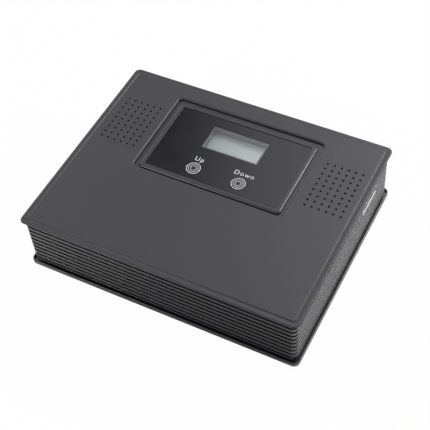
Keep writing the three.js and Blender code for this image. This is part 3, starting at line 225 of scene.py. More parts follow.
# Parts on the boards, in millimetres
RELAY_COUNT = 7
RELAY_WIDTH = 12.6
RELAY_FOOT = 0.9
RELAY_PIN_REACH = 3.8
RELAY_PINS = (4, 5)
CAPACITOR_WIDTH = 9
LEG_PITCH = 2.5
PIN_END = 13.4
BOARD_CORNER = 1.5
WIRES = {"coil_large": 0.7, "coil_medium": 0.6, "coil_small": 0.45}
COIL_BORE_SHARE = 0.5
COIL_STEPS = 16
COIL_START = 15
COIL_SWEEP = 330
SHIELD_SHEET = 0.8
SHIELD_HOLE = 1.1
SHIELD_HOLES_X = (6, 5.4)
SHIELD_HOLES_Y = (4, 5.0)
SHIELD_TAB_INSET = 6
CHIP_LEGS = 11
CHIP_LEG_PITCH = 1.1
REGULATOR_LIFT = 4
REGULATOR_HEIGHT = 9
RESISTORS = 16
RESISTOR_COLUMNS = 8
RESISTOR_PITCH = (4, 6)
RESISTORS_FROM_CHIP = (14, -3)
CABLE_WIRES = 10
RIBBON_WIDTH = 13
PLUG_HALF = 2.5
PLUG_HEIGHT = 4
PLUG_TAB_REACH = 7.2
CABLE_BEND = 2.5
INLET_WIRE = 0.7
INLET_WIRE_BEND = 4
INLET_WIRE_OUT = 1.5

# Plastics: colour, roughness, grain, depth of the pits in millimetres, gain of colour on worn edges (partly
# wear, partly painted sheen), dust
PLASTICS = {
    "lid_plastic": ((47, 45, 52), 0.42, 2500.0, 0.03, 1.25, 0.012),
    "body_plastic": ((38, 37, 42), 0.38, 2200.0, 0.02, 1.25, 0.012),
    "base_plastic": ((38, 36, 42), 0.40, 2000.0, 0.02, 1.25, 0.012),
    "frame_plastic": ((46, 44, 52), 0.34, 3200.0, 0.015, 1.25, 0.01),
    "pale_plastic": ((116, 119, 121), 0.5, 3500.0, 0.015, 1.1, 0.02),
    "cell_glass": ((120, 138, 132), 0.12, 900.0, 0.004, 1.2, 0.0),
    "milky_plastic": ((222, 225, 220), 0.4, 3000.0, 0.01, 1.02, 0.0),
    "foot_rubber": ((28, 28, 29), 0.85, 1500.0, 0.05, 1.3, 0.08),
    "rear_paint": ((38, 38, 41), 0.55, 1300.0, 0.06, 1.4, 0.04),
    "white_insulator": ((228, 226, 218), 0.45, 2600.0, 0.01, 1.02, 0.0),
    "relay_blue": ((40, 76, 134), 0.38, 2800.0, 0.02, 1.2, 0.04),
    "dipped_brown": ((140, 74, 36), 0.35, 700.0, 0.08, 1.15, 0.03),
    "chip_black": ((26, 26, 28), 0.5, 3800.0, 0.02, 1.5, 0.05),
    "core_red": ((146, 38, 30), 0.5, 1800.0, 0.05, 1.2, 0.03),
    "wire_red": ((168, 24, 26), 0.35, 900.0, 0.02, 1.15, 0.02),
    "wire_black": ((24, 24, 26), 0.4, 900.0, 0.02, 1.4, 0.03),
    "sleeve_blue": ((30, 44, 82), 0.35, 900.0, 0.03, 1.3, 0.03),
    "ribbon_grey": ((172, 174, 178), 0.5, 1200.0, 0.03, 1.1, 0.0),
    "inner_black": ((30, 30, 32), 0.48, 2600.0, 0.02, 1.5, 0.04),
    "print_white": ((226, 227, 228), 0.5, 5000.0, 0.004, 1.0, 0.0),
}
COATS = {"body_plastic": 0.6, "base_plastic": 0.6}
# Painted shade: how far the marked grooves of a plastic go towards black
PAINTED_GROOVE_SHADES = {"body_plastic": 0.8}

# Metals: colour, roughness, stretch of the fine lines, their depth in millimetres
METALS = {
    "zinc_steel": ((176, 178, 182), 0.34, (2500.0, 40.0, 2500.0), 0.008),
    "bright_nickel": ((206, 203, 196), 0.22, (2500.0, 40.0, 2500.0), 0.008),
    "port_nickel": ((214, 214, 212), 0.26, (900.0, 40.0, 900.0), 0.002),
    "turned_brass": ((196, 158, 92), 0.27, (2500.0, 40.0, 2500.0), 0.008),
    "copper_wire": ((184, 100, 60), 0.3, (400.0, 400.0, 60.0), 0.008),
}

# The record's slot for each finish. White print has none
SLOTS = {
    "lid_plastic": "lid_plastic", "body_plastic": "body_plastic", "base_plastic": "base_plastic",
    "frame_plastic": "frame_plastic", "glossy_black": "gloss_panel", "pale_plastic": "pale_frame",
    "window_glass": "lens", "display_face": "display_glass", "cell_glass": "display_glass",
    "milky_plastic": "light_guide", "foot_rubber": "rubber", "board_green": "circuit_board",
    "zinc_steel": "steel", "bright_nickel": "nickel", "port_nickel": "nickel", "turned_brass": "brass",
    "rear_paint": "rear_paint", "white_insulator": "fluoropolymer", "relay_blue": "relay_case",
    "dipped_brown": "capacitor_dip", "chip_black": "chip_black", "copper_wire": "coil_wire",
    "core_red": "coil_wire", "sleeve_blue": "sleeve", "wire_red": "sleeve", "wire_black": "sleeve",
    "ribbon_grey": "ribbon", "inner_black": "inner_plastic",
}

# The nodes of the frame by the finish that each carries
CARRIED = {
    "lid_plastic": ["lid"],
    "body_plastic": ["body"],
    "base_plastic": ["base"],
    "frame_plastic": ["display_frame"],
    "glossy_black": ["display_panel", "key_up", "key_down"],
    "pale_plastic": ["window_frame"],
    "window_glass": ["window_lens"],
    "display_face": ["display_cell"],
    "milky_plastic": ["display_light_guide"],
    "foot_rubber": [f"foot_{corner}" for corner in CORNERS],
    "board_green": ["main_board", "display_board", "control_port_board"],
    "zinc_steel": [f"{kind}_screw_{corner}" for kind in ("case", "board") for corner in CORNERS]
    + ["rear_panel_screw_left", "rear_panel_screw_right"],
    "bright_nickel": [
        "rf_output_shell", "rf_input_shell", "rf_output_nut", "rf_input_nut", "power_jack_nut",
        "sensor_shield", "control_port_shell",
    ],
    "turned_brass": ["rf_output_contact", "rf_input_contact", "ground_stud", "ground_nut"],
    "rear_paint": ["rear_panel"],
    "white_insulator": ["rf_output_insulator", "rf_input_insulator"],
    "relay_blue": ["inductor_relays", "capacitor_relays"],
    "dipped_brown": ["tuning_capacitors"],
    "chip_black": ["controller_chip", "voltage_regulator"],
    "copper_wire": ["coil_large", "coil_medium", "coil_small"],
    "sleeve_blue": ["supply_capacitor", "power_lead"],
    "ribbon_grey": ["display_ribbon", "control_port_ribbon"],
    "inner_black": [
        "key_switch_up", "key_switch_down", "switch_plunger_up", "switch_plunger_down", "power_jack",
        "control_port_insert",
    ],
}


def span(name):
    """The lowest and highest corners of a node of the frame, in millimetres."""
    low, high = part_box(name)
    return low / MM, high / MM


def middle_of(name, axes="xy"):
    """The middle of a node of the frame along the named axes."""
    low, high = span(name)
    return tuple((getattr(low, axis) + getattr(high, axis)) / 2 for axis in axes)


lid_low, lid_high = span("lid")
body_low, body_high = span("body")
base_low = span("base")[0]
board_low = span("main_board")[0].z
panel_low, panel_high = span("display_panel")
frame_low, frame_high = span("display_frame")
window_low, window_high = span("window_frame")
cell_low, cell_high = span("display_cell")

CASE_WIDTH = lid_high.x - lid_low.x
CASE_DEPTH = lid_high.y - lid_low.y
CASE_Y = (lid_low.y + lid_high.y) / 2
LID_TOP = lid_high.z
LID_BOTTOM = body_high.z + SEAT
BODY_BOTTOM = body_low.z
BODY_TOP = body_high.z
FACE_X, PANEL_Y = middle_of("display_panel")
WINDOW_X, WINDOW_Y = middle_of("window_frame")
OPENING_Y = lid_high.y - OPENING_BACK_MARGIN - OPENING_DEPTH / 2
FRAME_Y = OPENING_Y + FRAME_SHIFT_Y
INNER_WIDTH = CASE_WIDTH - 2 * (BODY_INSET + GROOVE_DEPTH + WALL)
INNER_DEPTH = CASE_DEPTH - 2 * (BODY_INSET + GROOVE_DEPTH + WALL)
INNER_CORNER = CASE_CORNER - GROOVE_DEPTH


# Shaping

def rounded_face(width, depth, corner, x, y, z, arc=ARC):
    """A flat face with round corners that looks up."""
    bm = bmesh.new()
    bmesh.ops.create_grid(bm, x_segments=1, y_segments=1, size=0.5)
    bmesh.ops.scale(bm, vec=(width, depth, 1), verts=bm.verts)
    if corner > 0:
        bmesh.ops.bevel(
            bm, geom=bm.verts[:], affect='VERTICES', offset=corner, offset_type='OFFSET',
            segments=arc, profile=0.5, material=-1,
        )
    return moved(bm, x, y, z)


def drawn_out(bm, by):
    """Draws a flat mesh out along a vector, and gives its moved face."""
    made = bmesh.ops.extrude_face_region(bm, geom=bm.faces[:])["geom"]
    bmesh.ops.translate(bm, vec=by, verts=[part for part in made if isinstance(part, bmesh.types.BMVert)])
    return next(part for part in made if isinstance(part, bmesh.types.BMFace))


def tower(width, depth, corner, x, y, z0, z1, above=(), below=(), arc=ARC):
    """A closed rounded slab with its top and underside, which go on in steps of inset and lift."""
    bm = rounded_face(width, depth, corner, x, y, z0, arc)
    floor = bm.faces[:][0]
    top = drawn_out(bm, (0, 0, z1 - z0))
    for face, steps in ((top, above), (floor, below)):
        for inset, lift in steps:
            bmesh.ops.inset_region(
                bm, faces=[face], thickness=inset, depth=lift, use_even_offset=True, use_boundary=True,
            )
    return bm, top, floor


def slab(*sizes, **steps):
    """A tower as a mesh alone."""
    return tower(*sizes, **steps)[0]


def make_ring(bm, top, floor):
    """Opens a tower whose top has come down to its underside, so that it becomes a ring."""
    bmesh.ops.delete(bm, geom=[top, floor], context='FACES_ONLY')
    bmesh.ops.bridge_loops(bm, edges=[edge for edge in bm.edges if edge.is_boundary])
    bmesh.ops.recalc_face_normals(bm, faces=bm.faces)
    return bm


def fillet(radius, count=4):
    """Steps of widening and lift for a tool that leaves a round edge of that radius."""
    steps = []
    for i in range(count):
        start = math.pi / 2 * i / count
        end = math.pi / 2 * (i + 1) / count
        widen = radius * (math.cos(start) - math.cos(end))
        lift = radius * (math.sin(end) - math.sin(start))
        steps.append((-widen, lift))
    return steps


def fillet_in(radius):
    """Steps that round the upper edge of a tower."""
    return [(-widen, lift) for widen, lift in fillet(radius, 3)]


def layer_of(bm, name):
    return bm.loops.layers.float.get(name) or bm.loops.layers.float.new(name)


def mark(faces, layer):
    """Marks faces in a layer that a material reads."""
    for face in faces:
        for loop in face.loops:
            loop[layer] = 1


def soften(bm, width, segments=3, least=25, where=None):
    """Rounds the sharp edges, or those that the test picks by their middle, and marks the new faces for the
    lighter edges of wear and painted sheen.
    """
    layer = layer_of(bm, "edge")
    sharp = [e for e in bm.edges if e.is_manifold and e.calc_face_angle() > math.radians(least)]
    if where:
        sharp = [e for e in sharp if where((e.verts[0].co + e.verts[1].co) / 2)]
    made = bmesh.ops.bevel(
        bm, geom=sharp, affect='EDGES', offset=width, offset_type='OFFSET', segments=segments,
        profile=0.5, material=-1, clamp_overlap=True,
    )
    mark(made["faces"], layer)
    return bm


def block(x0, x1, y0, y1, z0, z1, edge=0.0, segments=2):
    """A block between two corners, with round edges if asked."""
    bm = bmesh.new()
    bmesh.ops.create_cube(bm, size=1)
    bmesh.ops.scale(bm, vec=(x1 - x0, y1 - y0, z1 - z0), verts=bm.verts)
    moved(bm, (x0 + x1) / 2, (y0 + y1) / 2, (z0 + z1) / 2)
    return soften(bm, edge, segments) if edge else bm


def filled(name, edge=0.0, segments=2):
    """A block that fills the box of a node."""
    low, high = span(name)
    return block(low.x, high.x, low.y, high.y, low.z, high.z, edge, segments)


def turned(outline, sides=ROUND):
    """A round piece on an upright axis through the origin, from pairs of radius and height, bottom to top."""
    bm = bmesh.new()
    points = [bm.verts.new((radius, 0, height)) for radius, height in outline]
    lines = [bm.edges.new(pair) for pair in zip(points, points[1:])]
    bmesh.ops.spin(
        bm, geom=points + lines, cent=(0, 0, 0), axis=(0, 0, 1), angle=2 * math.pi, steps=sides,
        use_merge=True,
    )
    bmesh.ops.remove_doubles(bm, verts=bm.verts, dist=1e-4)
    bmesh.ops.recalc_face_normals(bm, faces=bm.faces)
    return bm


def rod(radius, x, y, z0, z1, sides=ROUND):
    """An upright rod."""
    return moved(turned([(0, z0), (radius, z0), (radius, z1), (0, z1)], sides), x, y)


def moved(bm, x=0, y=0, z=0):
    bmesh.ops.translate(bm, vec=(x, y, z), verts=bm.verts)
    return bm


def rotated(bm, quarters, axis):
    """Turns a piece about an axis through the origin, by quarter turns."""
    turn = Matrix.Rotation(quarters * math.pi / 2, 3, axis)
    bmesh.ops.rotate(bm, cent=(0, 0, 0), matrix=turn, verts=bm.verts)
    return bm


def facing_back(bm):
    """Turns a piece that stands up so that it points to the back."""
    return rotated(bm, -1, 'X')


def facing_right(bm):
    """Turns a piece that stands up so that it points to the right."""
    return rotated(bm, 1, 'Y')


def together(*parts):
    """Puts several meshes into one."""
    whole = bmesh.new()
    for part in parts:
        loose = bpy.data.meshes.new("loose")
        part.to_mesh(loose)
        part.free()
        whole.from_mesh(loose)
        bpy.data.meshes.remove(loose)
    return whole


def linked(name, data):
    """A new object in the scene that shows the data."""
    made = bpy.data.objects.new(name, data)
    bpy.context.scene.collection.objects.link(made)
    return made


def as_object(name, bm):
    mesh = bpy.data.meshes.new(name)
    bm.to_mesh(mesh)
    bm.free()
    return linked(name, mesh)


def shown_mesh(made):
    """The mesh that an object shows after its modifiers."""
    bpy.context.view_layer.update()
    shown = made.evaluated_get(bpy.context.evaluated_depsgraph_get())
    bm = bmesh.new()
    bm.from_mesh(shown.to_mesh())
    shown.to_mesh_clear()
    return bm


def combined(bm, other, operation):
    first = as_object("first", bm)
    second = as_object("second", other)
    join = first.modifiers.new("join", 'BOOLEAN')
    join.operation = operation
    join.solver = 'EXACT'
    join.object = second
    result = shown_mesh(first)
    for spent in (first, second):
        mesh = spent.data
        bpy.data.objects.remove(spent)
        bpy.data.meshes.remove(mesh)
    return result


def carved(bm, *tools):
    """Cuts the tools' shapes out of a mesh and gives what is left."""
    return combined(bm, together(*tools), 'DIFFERENCE')


def united(bm, *others):
    """Melts other meshes into one, each on its own, so that they may overlap."""
    for other in others:
        bm = combined(bm, other, 'UNION')
    return bm


def from_curve(curve):
    """The mesh of a text or curve, which is used up."""
    drawn = linked("drawn", curve)
    bm = shown_mesh(drawn)
    bpy.data.objects.remove(drawn)
    bpy.data.curves.remove(curve)
    bmesh.ops.remove_doubles(bm, verts=bm.verts, dist=1e-4)
    return bm


def wire(points, radius, resolution=1):
    """A round wire along the points, closed at both ends."""
    curve = bpy.data.curves.new("wire", 'CURVE')
    curve.dimensions = '3D'
    curve.bevel_depth = radius
    curve.bevel_resolution = resolution
    curve.use_fill_caps = True
    line = curve.splines.new('POLY')
    line.points.add(len(points) - 1)
    for knot, point in zip(line.points, points):
        knot.co = (*point, 1)
    return from_curve(curve)


def piece(name, bm, finish, replaces=None, body="case", slot=None):
    """Finishes a mesh as a piece of the tuner that rides on a body and may stand for a node of the frame."""
    bmesh.ops.scale(bm, vec=(MM, MM, MM), verts=bm.verts)
    for face in bm.faces:
        face.smooth = True
    for edge in bm.edges:
        edge.smooth = edge.is_manifold and edge.calc_face_angle() < math.radians(SHARP_FROM)
    made = as_object(name, bm)
    made.data.materials.append(finishes[finish])
    shading = made.modifiers.new("even_shading", 'WEIGHTED_NORMAL')
    shading.keep_sharp = True
    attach(made, body)
    slot = slot or SLOTS.get(finish)
    if replaces:
        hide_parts(replaces)


# Node building

def feed(tree, made, inputs):
    """Gives a node's inputs their plain values, or the outputs that feed them."""
    for key, value in inputs.items():
        if isinstance(value, bpy.types.NodeSocket):
            tree.links.new(value, made.inputs[key])
        else:
            made.inputs[key].default_value = value


def node(tree, kind, inputs=None, **settings):
    """A node with its settings and inputs."""
    made = tree.nodes.new(kind)
    for name, value in settings.items():
        setattr(made, name, value)
    feed(tree, made, inputs or {})
    return made


def calculate(tree, operation, first, second=0.0, clamp=False):
    inputs = {0: first, 1: second}
    return node(tree, 'ShaderNodeMath', inputs, operation=operation, use_clamp=clamp).outputs[0]


def blend_colours(tree, share, first, second):
    return node(tree, 'ShaderNodeMix', {0: share, 6: first, 7: second}, data_type='RGBA').outputs[2]


def stretch(tree, value, low, high, to_low=0.0, to_high=1.0):
    inputs = {"Value": value, "From Min": low, "From Max": high, "To Min": to_low, "To Max": to_high}
    return node(tree, 'ShaderNodeMapRange', inputs).outputs[0]


def noise(tree, place, scale, detail, **more):
    """Noise at a place; more names the roughness or distortion."""
    inputs = {"Vector": place, "Scale": scale, "Detail": detail}
    inputs.update({name.capitalize(): value for name, value in more.items()})
    return node(tree, 'ShaderNodeTexNoise', inputs).outputs[0]


def drawn_along(tree, place, by):
    """A place vector that is drawn out, for lines in one direction."""
    return node(tree, 'ShaderNodeVectorMath', {0: place, 1: by}, operation='MULTIPLY').outputs[0]


def relief(tree, height, strength, depth):
    """A bump whose depth is in millimetres."""
    inputs = {"Strength": strength, "Distance": depth * MM, "Height": height}
    return node(tree, 'ShaderNodeBump', inputs).outputs[0]


def thin_lines(tree, place, width, height, line, soft, offset):
    """White lines round bricks of black."""
    return node(tree, 'ShaderNodeTexBrick', {
        "Vector": place, "Scale": 1.0, "Mortar Size": line, "Mortar Smooth": soft,
        "Brick Width": width, "Row Height": height, "Color1": BLACK, "Color2": BLACK, "Mortar": WHITE,
    }, offset=offset).outputs["Color"]


def times(colour, gain):
    return tuple(min(1.0, channel * gain) for channel in colour[:3]) + (1.0,)


def new_group(name, inputs, outputs):
    """An empty shader group with named sockets, its inputs' values and its output node."""
    tree = bpy.data.node_groups.new(name, 'ShaderNodeTree')
    for label, kind, value in [("Vector", 'NodeSocketVector', None), *inputs]:
        socket = tree.interface.new_socket(label, in_out='INPUT', socket_type=kind)
        if value is not None:
            socket.default_value = value
    for label in outputs:
        tree.interface.new_socket(label, in_out='OUTPUT', socket_type='NodeSocketFloat')
    return tree, tree.nodes.new('NodeGroupInput').outputs, tree.nodes.new('NodeGroupOutput')


def make_moulded_grain():
    """Fine pits of a moulded or painted skin, slow drifts of tone and faint dust on what faces up."""
    tree, (place, grain, drift, *_), out = new_group("moulded_grain", [
        ("Grain", 'NodeSocketFloat', 2500.0),
        ("Drift", 'NodeSocketFloat', 18.0),
    ], ["Height", "Tone", "Dust"])
    fine = noise(tree, place, grain, 2.0, roughness=0.6)
    cells = node(tree, 'ShaderNodeTexVoronoi', {"Vector": place, "Scale": grain}, feature='SMOOTH_F1')
    rough = calculate(tree, 'MULTIPLY', cells.outputs["Distance"], 0.6)
    specks = stretch(tree, noise(tree, place, 900.0, 1.0), 0.66, 0.74)
    facing = node(tree, 'ShaderNodeNewGeometry').outputs["Normal"]
    up = node(tree, 'ShaderNodeSeparateXYZ', {0: facing}).outputs[2]
    feed(tree, out, {
        0: calculate(tree, 'ADD', fine, rough),
        1: stretch(tree, noise(tree, place, drift, 4.0), 0.3, 0.7),
        2: calculate(tree, 'MULTIPLY', specks, stretch(tree, up, 0.7, 0.95)),
    })
    return tree


def make_edge_wear_and_sheen():
    """Marks the rounded edges that hands and cloths have worn, broken up by noise; the lighter colour there
    is partly wear and partly painted sheen.
    """
    tree, (place, breakup, *_), out = new_group("edge_wear_and_sheen", [("Breakup", 'NodeSocketFloat', 350.0)], ["Mask"])
    edge = node(tree, 'ShaderNodeAttribute', attribute_name="edge").outputs["Fac"]
    broken = stretch(tree, noise(tree, place, breakup, 3.0), 0.35, 0.65, 0.35, 1.0)
    feed(tree, out, {0: calculate(tree, 'MULTIPLY', edge, broken)})
    return tree


def make_machined_lines():
    """Fine lines of turned, rolled or brushed metal along one direction, with light stains."""
    tree, (place, along, *_), out = new_group("machined_lines", [
        ("Along", 'NodeSocketVector', (40.0, 2500.0, 2500.0)),
    ], ["Height", "Tone"])
    feed(tree, out, {
        0: noise(tree, drawn_along(tree, place, along), 1.0, 3.0, roughness=0.7),
        1: stretch(tree, noise(tree, place, 240.0, 4.0), 0.3, 0.7),
    })
    return tree


moulded_grain = make_moulded_grain()
edge_wear_and_sheen = make_edge_wear_and_sheen()
machined_lines = make_machined_lines()


def linear(red, green, blue):
    """A colour as a screen shows it, 0 to 255 a channel, for a shader's socket."""
    def channel(value):
        share = value / 255
        return share / 12.92 if share <= 0.04045 else ((share + 0.055) / 1.055) ** 2.4
    return (channel(red), channel(green), channel(blue), 1.0)


def new_material(name):
    """An empty material with its principled shader and the place vector of the piece."""
    material = bpy.data.materials.new(name)
    material.use_nodes = True
    tree = material.node_tree
    tree.nodes.clear()
    shader = tree.nodes.new('ShaderNodeBsdfPrincipled')
    node(tree, 'ShaderNodeOutputMaterial', {0: shader.outputs[0]})
    place = tree.nodes.new('ShaderNodeTexCoord').outputs["Object"]
    return material, tree, shader, place


def end_with(tree, share, first, second):
    """Lets a material end in a mix of two shaders."""
    mix = node(tree, 'ShaderNodeMixShader', {0: share, 1: first, 2: second})
    output = next(n for n in tree.nodes if n.type == 'OUTPUT_MATERIAL')
    tree.links.new(mix.outputs[0], output.inputs[0])


def plastic(name, colour, roughness, grain, depth, light, dust):
    """A moulded plastic: pitted skin, drift of tone, edges lighter for wear and painted sheen, a little dust
    and painted shade in the grooves.
    """
    material, tree, shader, place = new_material(name)
    skin = node(tree, 'ShaderNodeGroup', node_tree=moulded_grain)
    feed(tree, skin, {"Vector": place, "Grain": grain})
    worn_and_sheen_edges = node(tree, 'ShaderNodeGroup', node_tree=edge_wear_and_sheen)
    feed(tree, worn_and_sheen_edges, {"Vector": place})
    tone, mask = skin.outputs["Tone"], worn_and_sheen_edges.outputs["Mask"]
    base = linear(*colour)
    dusty = tuple(min(1.0, channel + dust) for channel in base[:3]) + (1.0,)
    drifted = blend_colours(tree, tone, times(base, 0.93), base)
    # Edges lighter in colour: partly wear, partly painted sheen
    edge_worn_and_sheened = blend_colours(tree, mask, drifted, times(base, light))
    surface_colour = blend_colours(tree, skin.outputs["Dust"], edge_worn_and_sheened, dusty)
    uneven = stretch(tree, tone, 0, 1, roughness - 0.04, roughness + 0.04)
    rough = calculate(tree, 'SUBTRACT', uneven, calculate(tree, 'MULTIPLY', mask, 0.14))
    coat = COATS.get(name, 0.0)
    # Painted shade: in the grooves that the body marks, the colour goes towards black and the coat and
    # specular fall away
    if name in PAINTED_GROOVE_SHADES:
        painted_groove_shade = node(tree, 'ShaderNodeAttribute', attribute_name="painted_groove_shade").outputs["Fac"]
        painted_shade = calculate(tree, 'MULTIPLY', painted_groove_shade, PAINTED_GROOVE_SHADES[name])
        surface_colour = blend_colours(tree, painted_shade, surface_colour, BLACK)
        rough = calculate(tree, 'ADD', rough, calculate(tree, 'MULTIPLY', painted_shade, 0.3))
        feed(tree, shader, {"Specular IOR Level": stretch(tree, painted_shade, 0, 1, 0.5, 0.1)})
        coat = stretch(tree, painted_shade, 0, 1, coat, 0.0)
    feed(tree, shader, {
        "Base Color": surface_colour, "Roughness": rough, "IOR": 1.5, "Coat Weight": coat, "Coat Roughness": 0.3,
        "Normal": relief(tree, skin.outputs["Height"], 0.6, depth),
    })
    return material


def metal(name, colour, roughness, along, depth):
    """A plated or bare metal with fine lines, light stains and brighter edges, which are partly wear and
    partly painted sheen.
    """
    material, tree, shader, place = new_material(name)
    lined = node(tree, 'ShaderNodeGroup', node_tree=machined_lines)
    feed(tree, lined, {"Vector": place, "Along": along})
    worn_and_sheen_edges = node(tree, 'ShaderNodeGroup', node_tree=edge_wear_and_sheen)
    feed(tree, worn_and_sheen_edges, {"Vector": place})
    tone, height = lined.outputs["Tone"], lined.outputs["Height"]
    base = linear(*colour)
    stained = blend_colours(tree, tone, times(base, 0.82), base)
    uneven = stretch(tree, tone, 0, 1, roughness + 0.08, roughness - 0.03)
    lines = stretch(tree, height, 0.3, 0.7, -0.04, 0.04)
    # The marked edges get a lighter colour, partly wear and partly painted sheen
    feed(tree, shader, {
        "Base Color": blend_colours(tree, worn_and_sheen_edges.outputs["Mask"], stained, times(base, 1.12)),
        "Roughness": calculate(tree, 'ADD', uneven, lines), "Metallic": 1.0,
        "Normal": relief(tree, height, 0.5, depth),
    })
    return material


def make_glossy_black():
    """Polished black acrylic with faint finger smears and hair scratches."""
    material, tree, shader, place = new_material("glossy_black")
    smear = noise(tree, place, 45.0, 5.0, distortion=0.6)
    hairs = noise(tree, drawn_along(tree, place, (60.0, 1400.0, 1.0)), 1.0, 1.0)
    scratches = calculate(tree, 'MULTIPLY', stretch(tree, hairs, 0.74, 0.78), 0.05)
    smudged = stretch(tree, smear, 0.4, 0.75, 0.07, 0.13)
    cloudy = stretch(tree, smear, 0.3, 0.8)
    feed(tree, shader, {
        "Base Color": blend_colours(tree, cloudy, linear(17, 16, 22), linear(21, 20, 27)),
        "Roughness": calculate(tree, 'ADD', smudged, scratches), "IOR": 1.5,
        "Normal": relief(tree, noise(tree, place, 25.0, 1.0), 0.4, 0.02),
    })
    return material


def make_window_glass():
    """Clear glass that lets the lamps through to what lies behind it."""
    material, tree, shader, place = new_material("window_glass")
    feed(tree, shader, {
        "Base Color": (0.93, 0.96, 0.95, 1.0), "Transmission Weight": 1.0, "IOR": 1.46,
        "Roughness": stretch(tree, noise(tree, place, 60.0, 4.0), 0.4, 0.8, 0.0, 0.05),
    })
    clear = node(tree, 'ShaderNodeBsdfTransparent', {"Color": (0.95, 0.97, 0.96, 1.0)})
    path = node(tree, 'ShaderNodeLightPath')
    lamp_side = calculate(tree, 'MAXIMUM', path.outputs["Is Shadow Ray"], path.outputs["Is Diffuse Ray"])
    end_with(tree, lamp_side, shader.outputs[0], clear.outputs[0])
    return material


def make_display_face():
    """The display's front: pale grey-green polariser with a faint grid of character cells, and painted shade
    that makes it darker at the left than at the right.
    """
    material, tree, shader, place = new_material("display_face")
    cell = thin_lines(tree, place, 0.0034, 0.0060, 0.00022, 0.5, 0.0)
    mist = noise(tree, place, 30.0, 3.0)
    # Painted shade and light: the face's colour goes from darker at the left to lighter at the right
    across = node(tree, 'ShaderNodeSeparateXYZ', {"Vector": place}).outputs["X"]
    side = stretch(tree, across, -0.018, 0.020)
    painted_side_shade = blend_colours(tree, side, linear(152, 160, 164), linear(181, 184, 190))
    misted = blend_colours(tree, stretch(tree, mist, 0.3, 0.7, 0.0, 0.06), painted_side_shade, linear(214, 220, 224))
    lines = calculate(tree, 'MULTIPLY', cell, 0.10)
    feed(tree, shader, {
        "Base Color": blend_colours(tree, lines, misted, linear(176, 185, 188)),
        "Roughness": stretch(tree, mist, 0.3, 0.7, 0.32, 0.40),
    })
    return material


def make_circuit_board():
    """Green solder mask over copper tracks, with tinned pads whose dark middles are painted shade of their
    bores.
    """
    material, tree, shader, place = new_material("board_green")
    tracks = thin_lines(tree, place, 0.011, 0.0032, 0.00035, 0.1, 0.37)
    pads = node(tree, 'ShaderNodeTexVoronoi', {"Vector": place, "Scale": 260.0, "Randomness": 0.55})
    dots = stretch(tree, pads.outputs["Distance"], 0.20, 0.24, 1.0, 0.0)
    # Painted shade: a dark spot in each pad stands for the shade inside its bore
    bores = stretch(tree, pads.outputs["Distance"], 0.07, 0.10, 1.0, 0.0)
    cloudy = stretch(tree, noise(tree, place, 35.0, 2.0), 0.3, 0.7)
    green = blend_colours(tree, cloudy, linear(18, 74, 46), linear(24, 86, 52))
    lined = blend_colours(tree, tracks, green, linear(44, 116, 70))
    tinned = blend_colours(tree, dots, lined, linear(176, 176, 168))
    bare = calculate(tree, 'SUBTRACT', dots, bores, clamp=True)
    feed(tree, shader, {
        "Base Color": blend_colours(tree, bores, tinned, linear(30, 30, 28)), "Metallic": bare,
        "Roughness": stretch(tree, bare, 0, 1, 0.42, 0.3),
        "Normal": relief(tree, calculate(tree, 'ADD', tracks, dots), 0.7, 0.04),
    })
    return material


finishes = {name: plastic(name, *looks) for name, looks in PLASTICS.items()}
finishes.update({name: metal(name, *looks) for name, looks in METALS.items()})
for special in (make_glossy_black(), make_window_glass(), make_display_face(), make_circuit_board()):
    finishes[special.name] = special


def dress_frame_nodes():
    """Gives each node of the frame its finish."""
    for finish, names in CARRIED.items():
        for name in names:
            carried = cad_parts[name]
            carried.data.materials.clear()
            carried.data.materials.append(finishes[finish])


# Case

def make_lid():
    rim_top = LID_TOP - LID_RIM_STEP
    bm = slab(
        CASE_WIDTH, CASE_DEPTH, CASE_CORNER, 0, CASE_Y, LID_BOTTOM, rim_top,
        above=[(LID_RIM_FLAT, 0), (LID_RIM_WIDTH - LID_RIM_FLAT, -LID_RIM_DISH)],
    )
    for height, edge, segments in ((rim_top, LID_EDGE, 4), (LID_BOTTOM, LID_FOOT_EDGE, 2)):
        soften(bm, edge, segments, where=lambda at: abs(at.z - height) < NEAR and outside_of(at, 1.0))
    slope_foot = rim_top - LID_RIM_DISH - 0.05
    raised = slab(
        CASE_WIDTH - 2 * LID_RIM_WIDTH, CASE_DEPTH - 2 * LID_RIM_WIDTH, RAISED_CORNER, 0, CASE_Y,
        LID_BOTTOM + 0.5, slope_foot, above=[(LID_RIM_SLOPE, LID_TOP - slope_foot)],
    )
    soften(raised, RAISED_EDGE, 4, least=15, where=lambda at: at.z > LID_TOP - NEAR)
    skirt_foot = LID_BOTTOM - LID_SKIRT_DROP
    skirt_top = LID_BOTTOM + SEAT
    skirt = make_ring(*tower(
        INNER_WIDTH - 2 * SEAT, INNER_DEPTH - 2 * SEAT, INNER_CORNER, 0, CASE_Y, skirt_foot, skirt_top,
        above=[(LID_SKIRT_WALL, 0), (0, skirt_foot - skirt_top)],
    ))
    bm = united(bm, raised, skirt)
    bm = carved(bm, opening_tool(), *vent_tools())
    bosses = [moved(turned(lid_boss_outline(), 32), *place) for place in corner_places("case_screw")]
    seat = LID_BOTTOM - FRAME_FLOOR - 2 * SEAT
    outline = stake_outline(seat - STAKE_HEAD_THICKNESS, seat, LID_BOTTOM + SEAT)
    pins = [moved(turned(outline, 20), *place) for place in frame_pin_places()]
    piece("lid_shell", together(bm, *bosses, *pins), "lid_plastic", "lid")


def corner_places(kind):
    """The middles of four like nodes, one at each corner, seen from above."""
    return [middle_of(f"{kind}_{corner}") for corner in CORNERS]


def about(x, y, reach_x, reach_y):
    """The four places that lie so far to the sides, front and back of a middle."""
    return [(x + sx * reach_x, y + sy * reach_y) for sx, sy in QUARTERS]


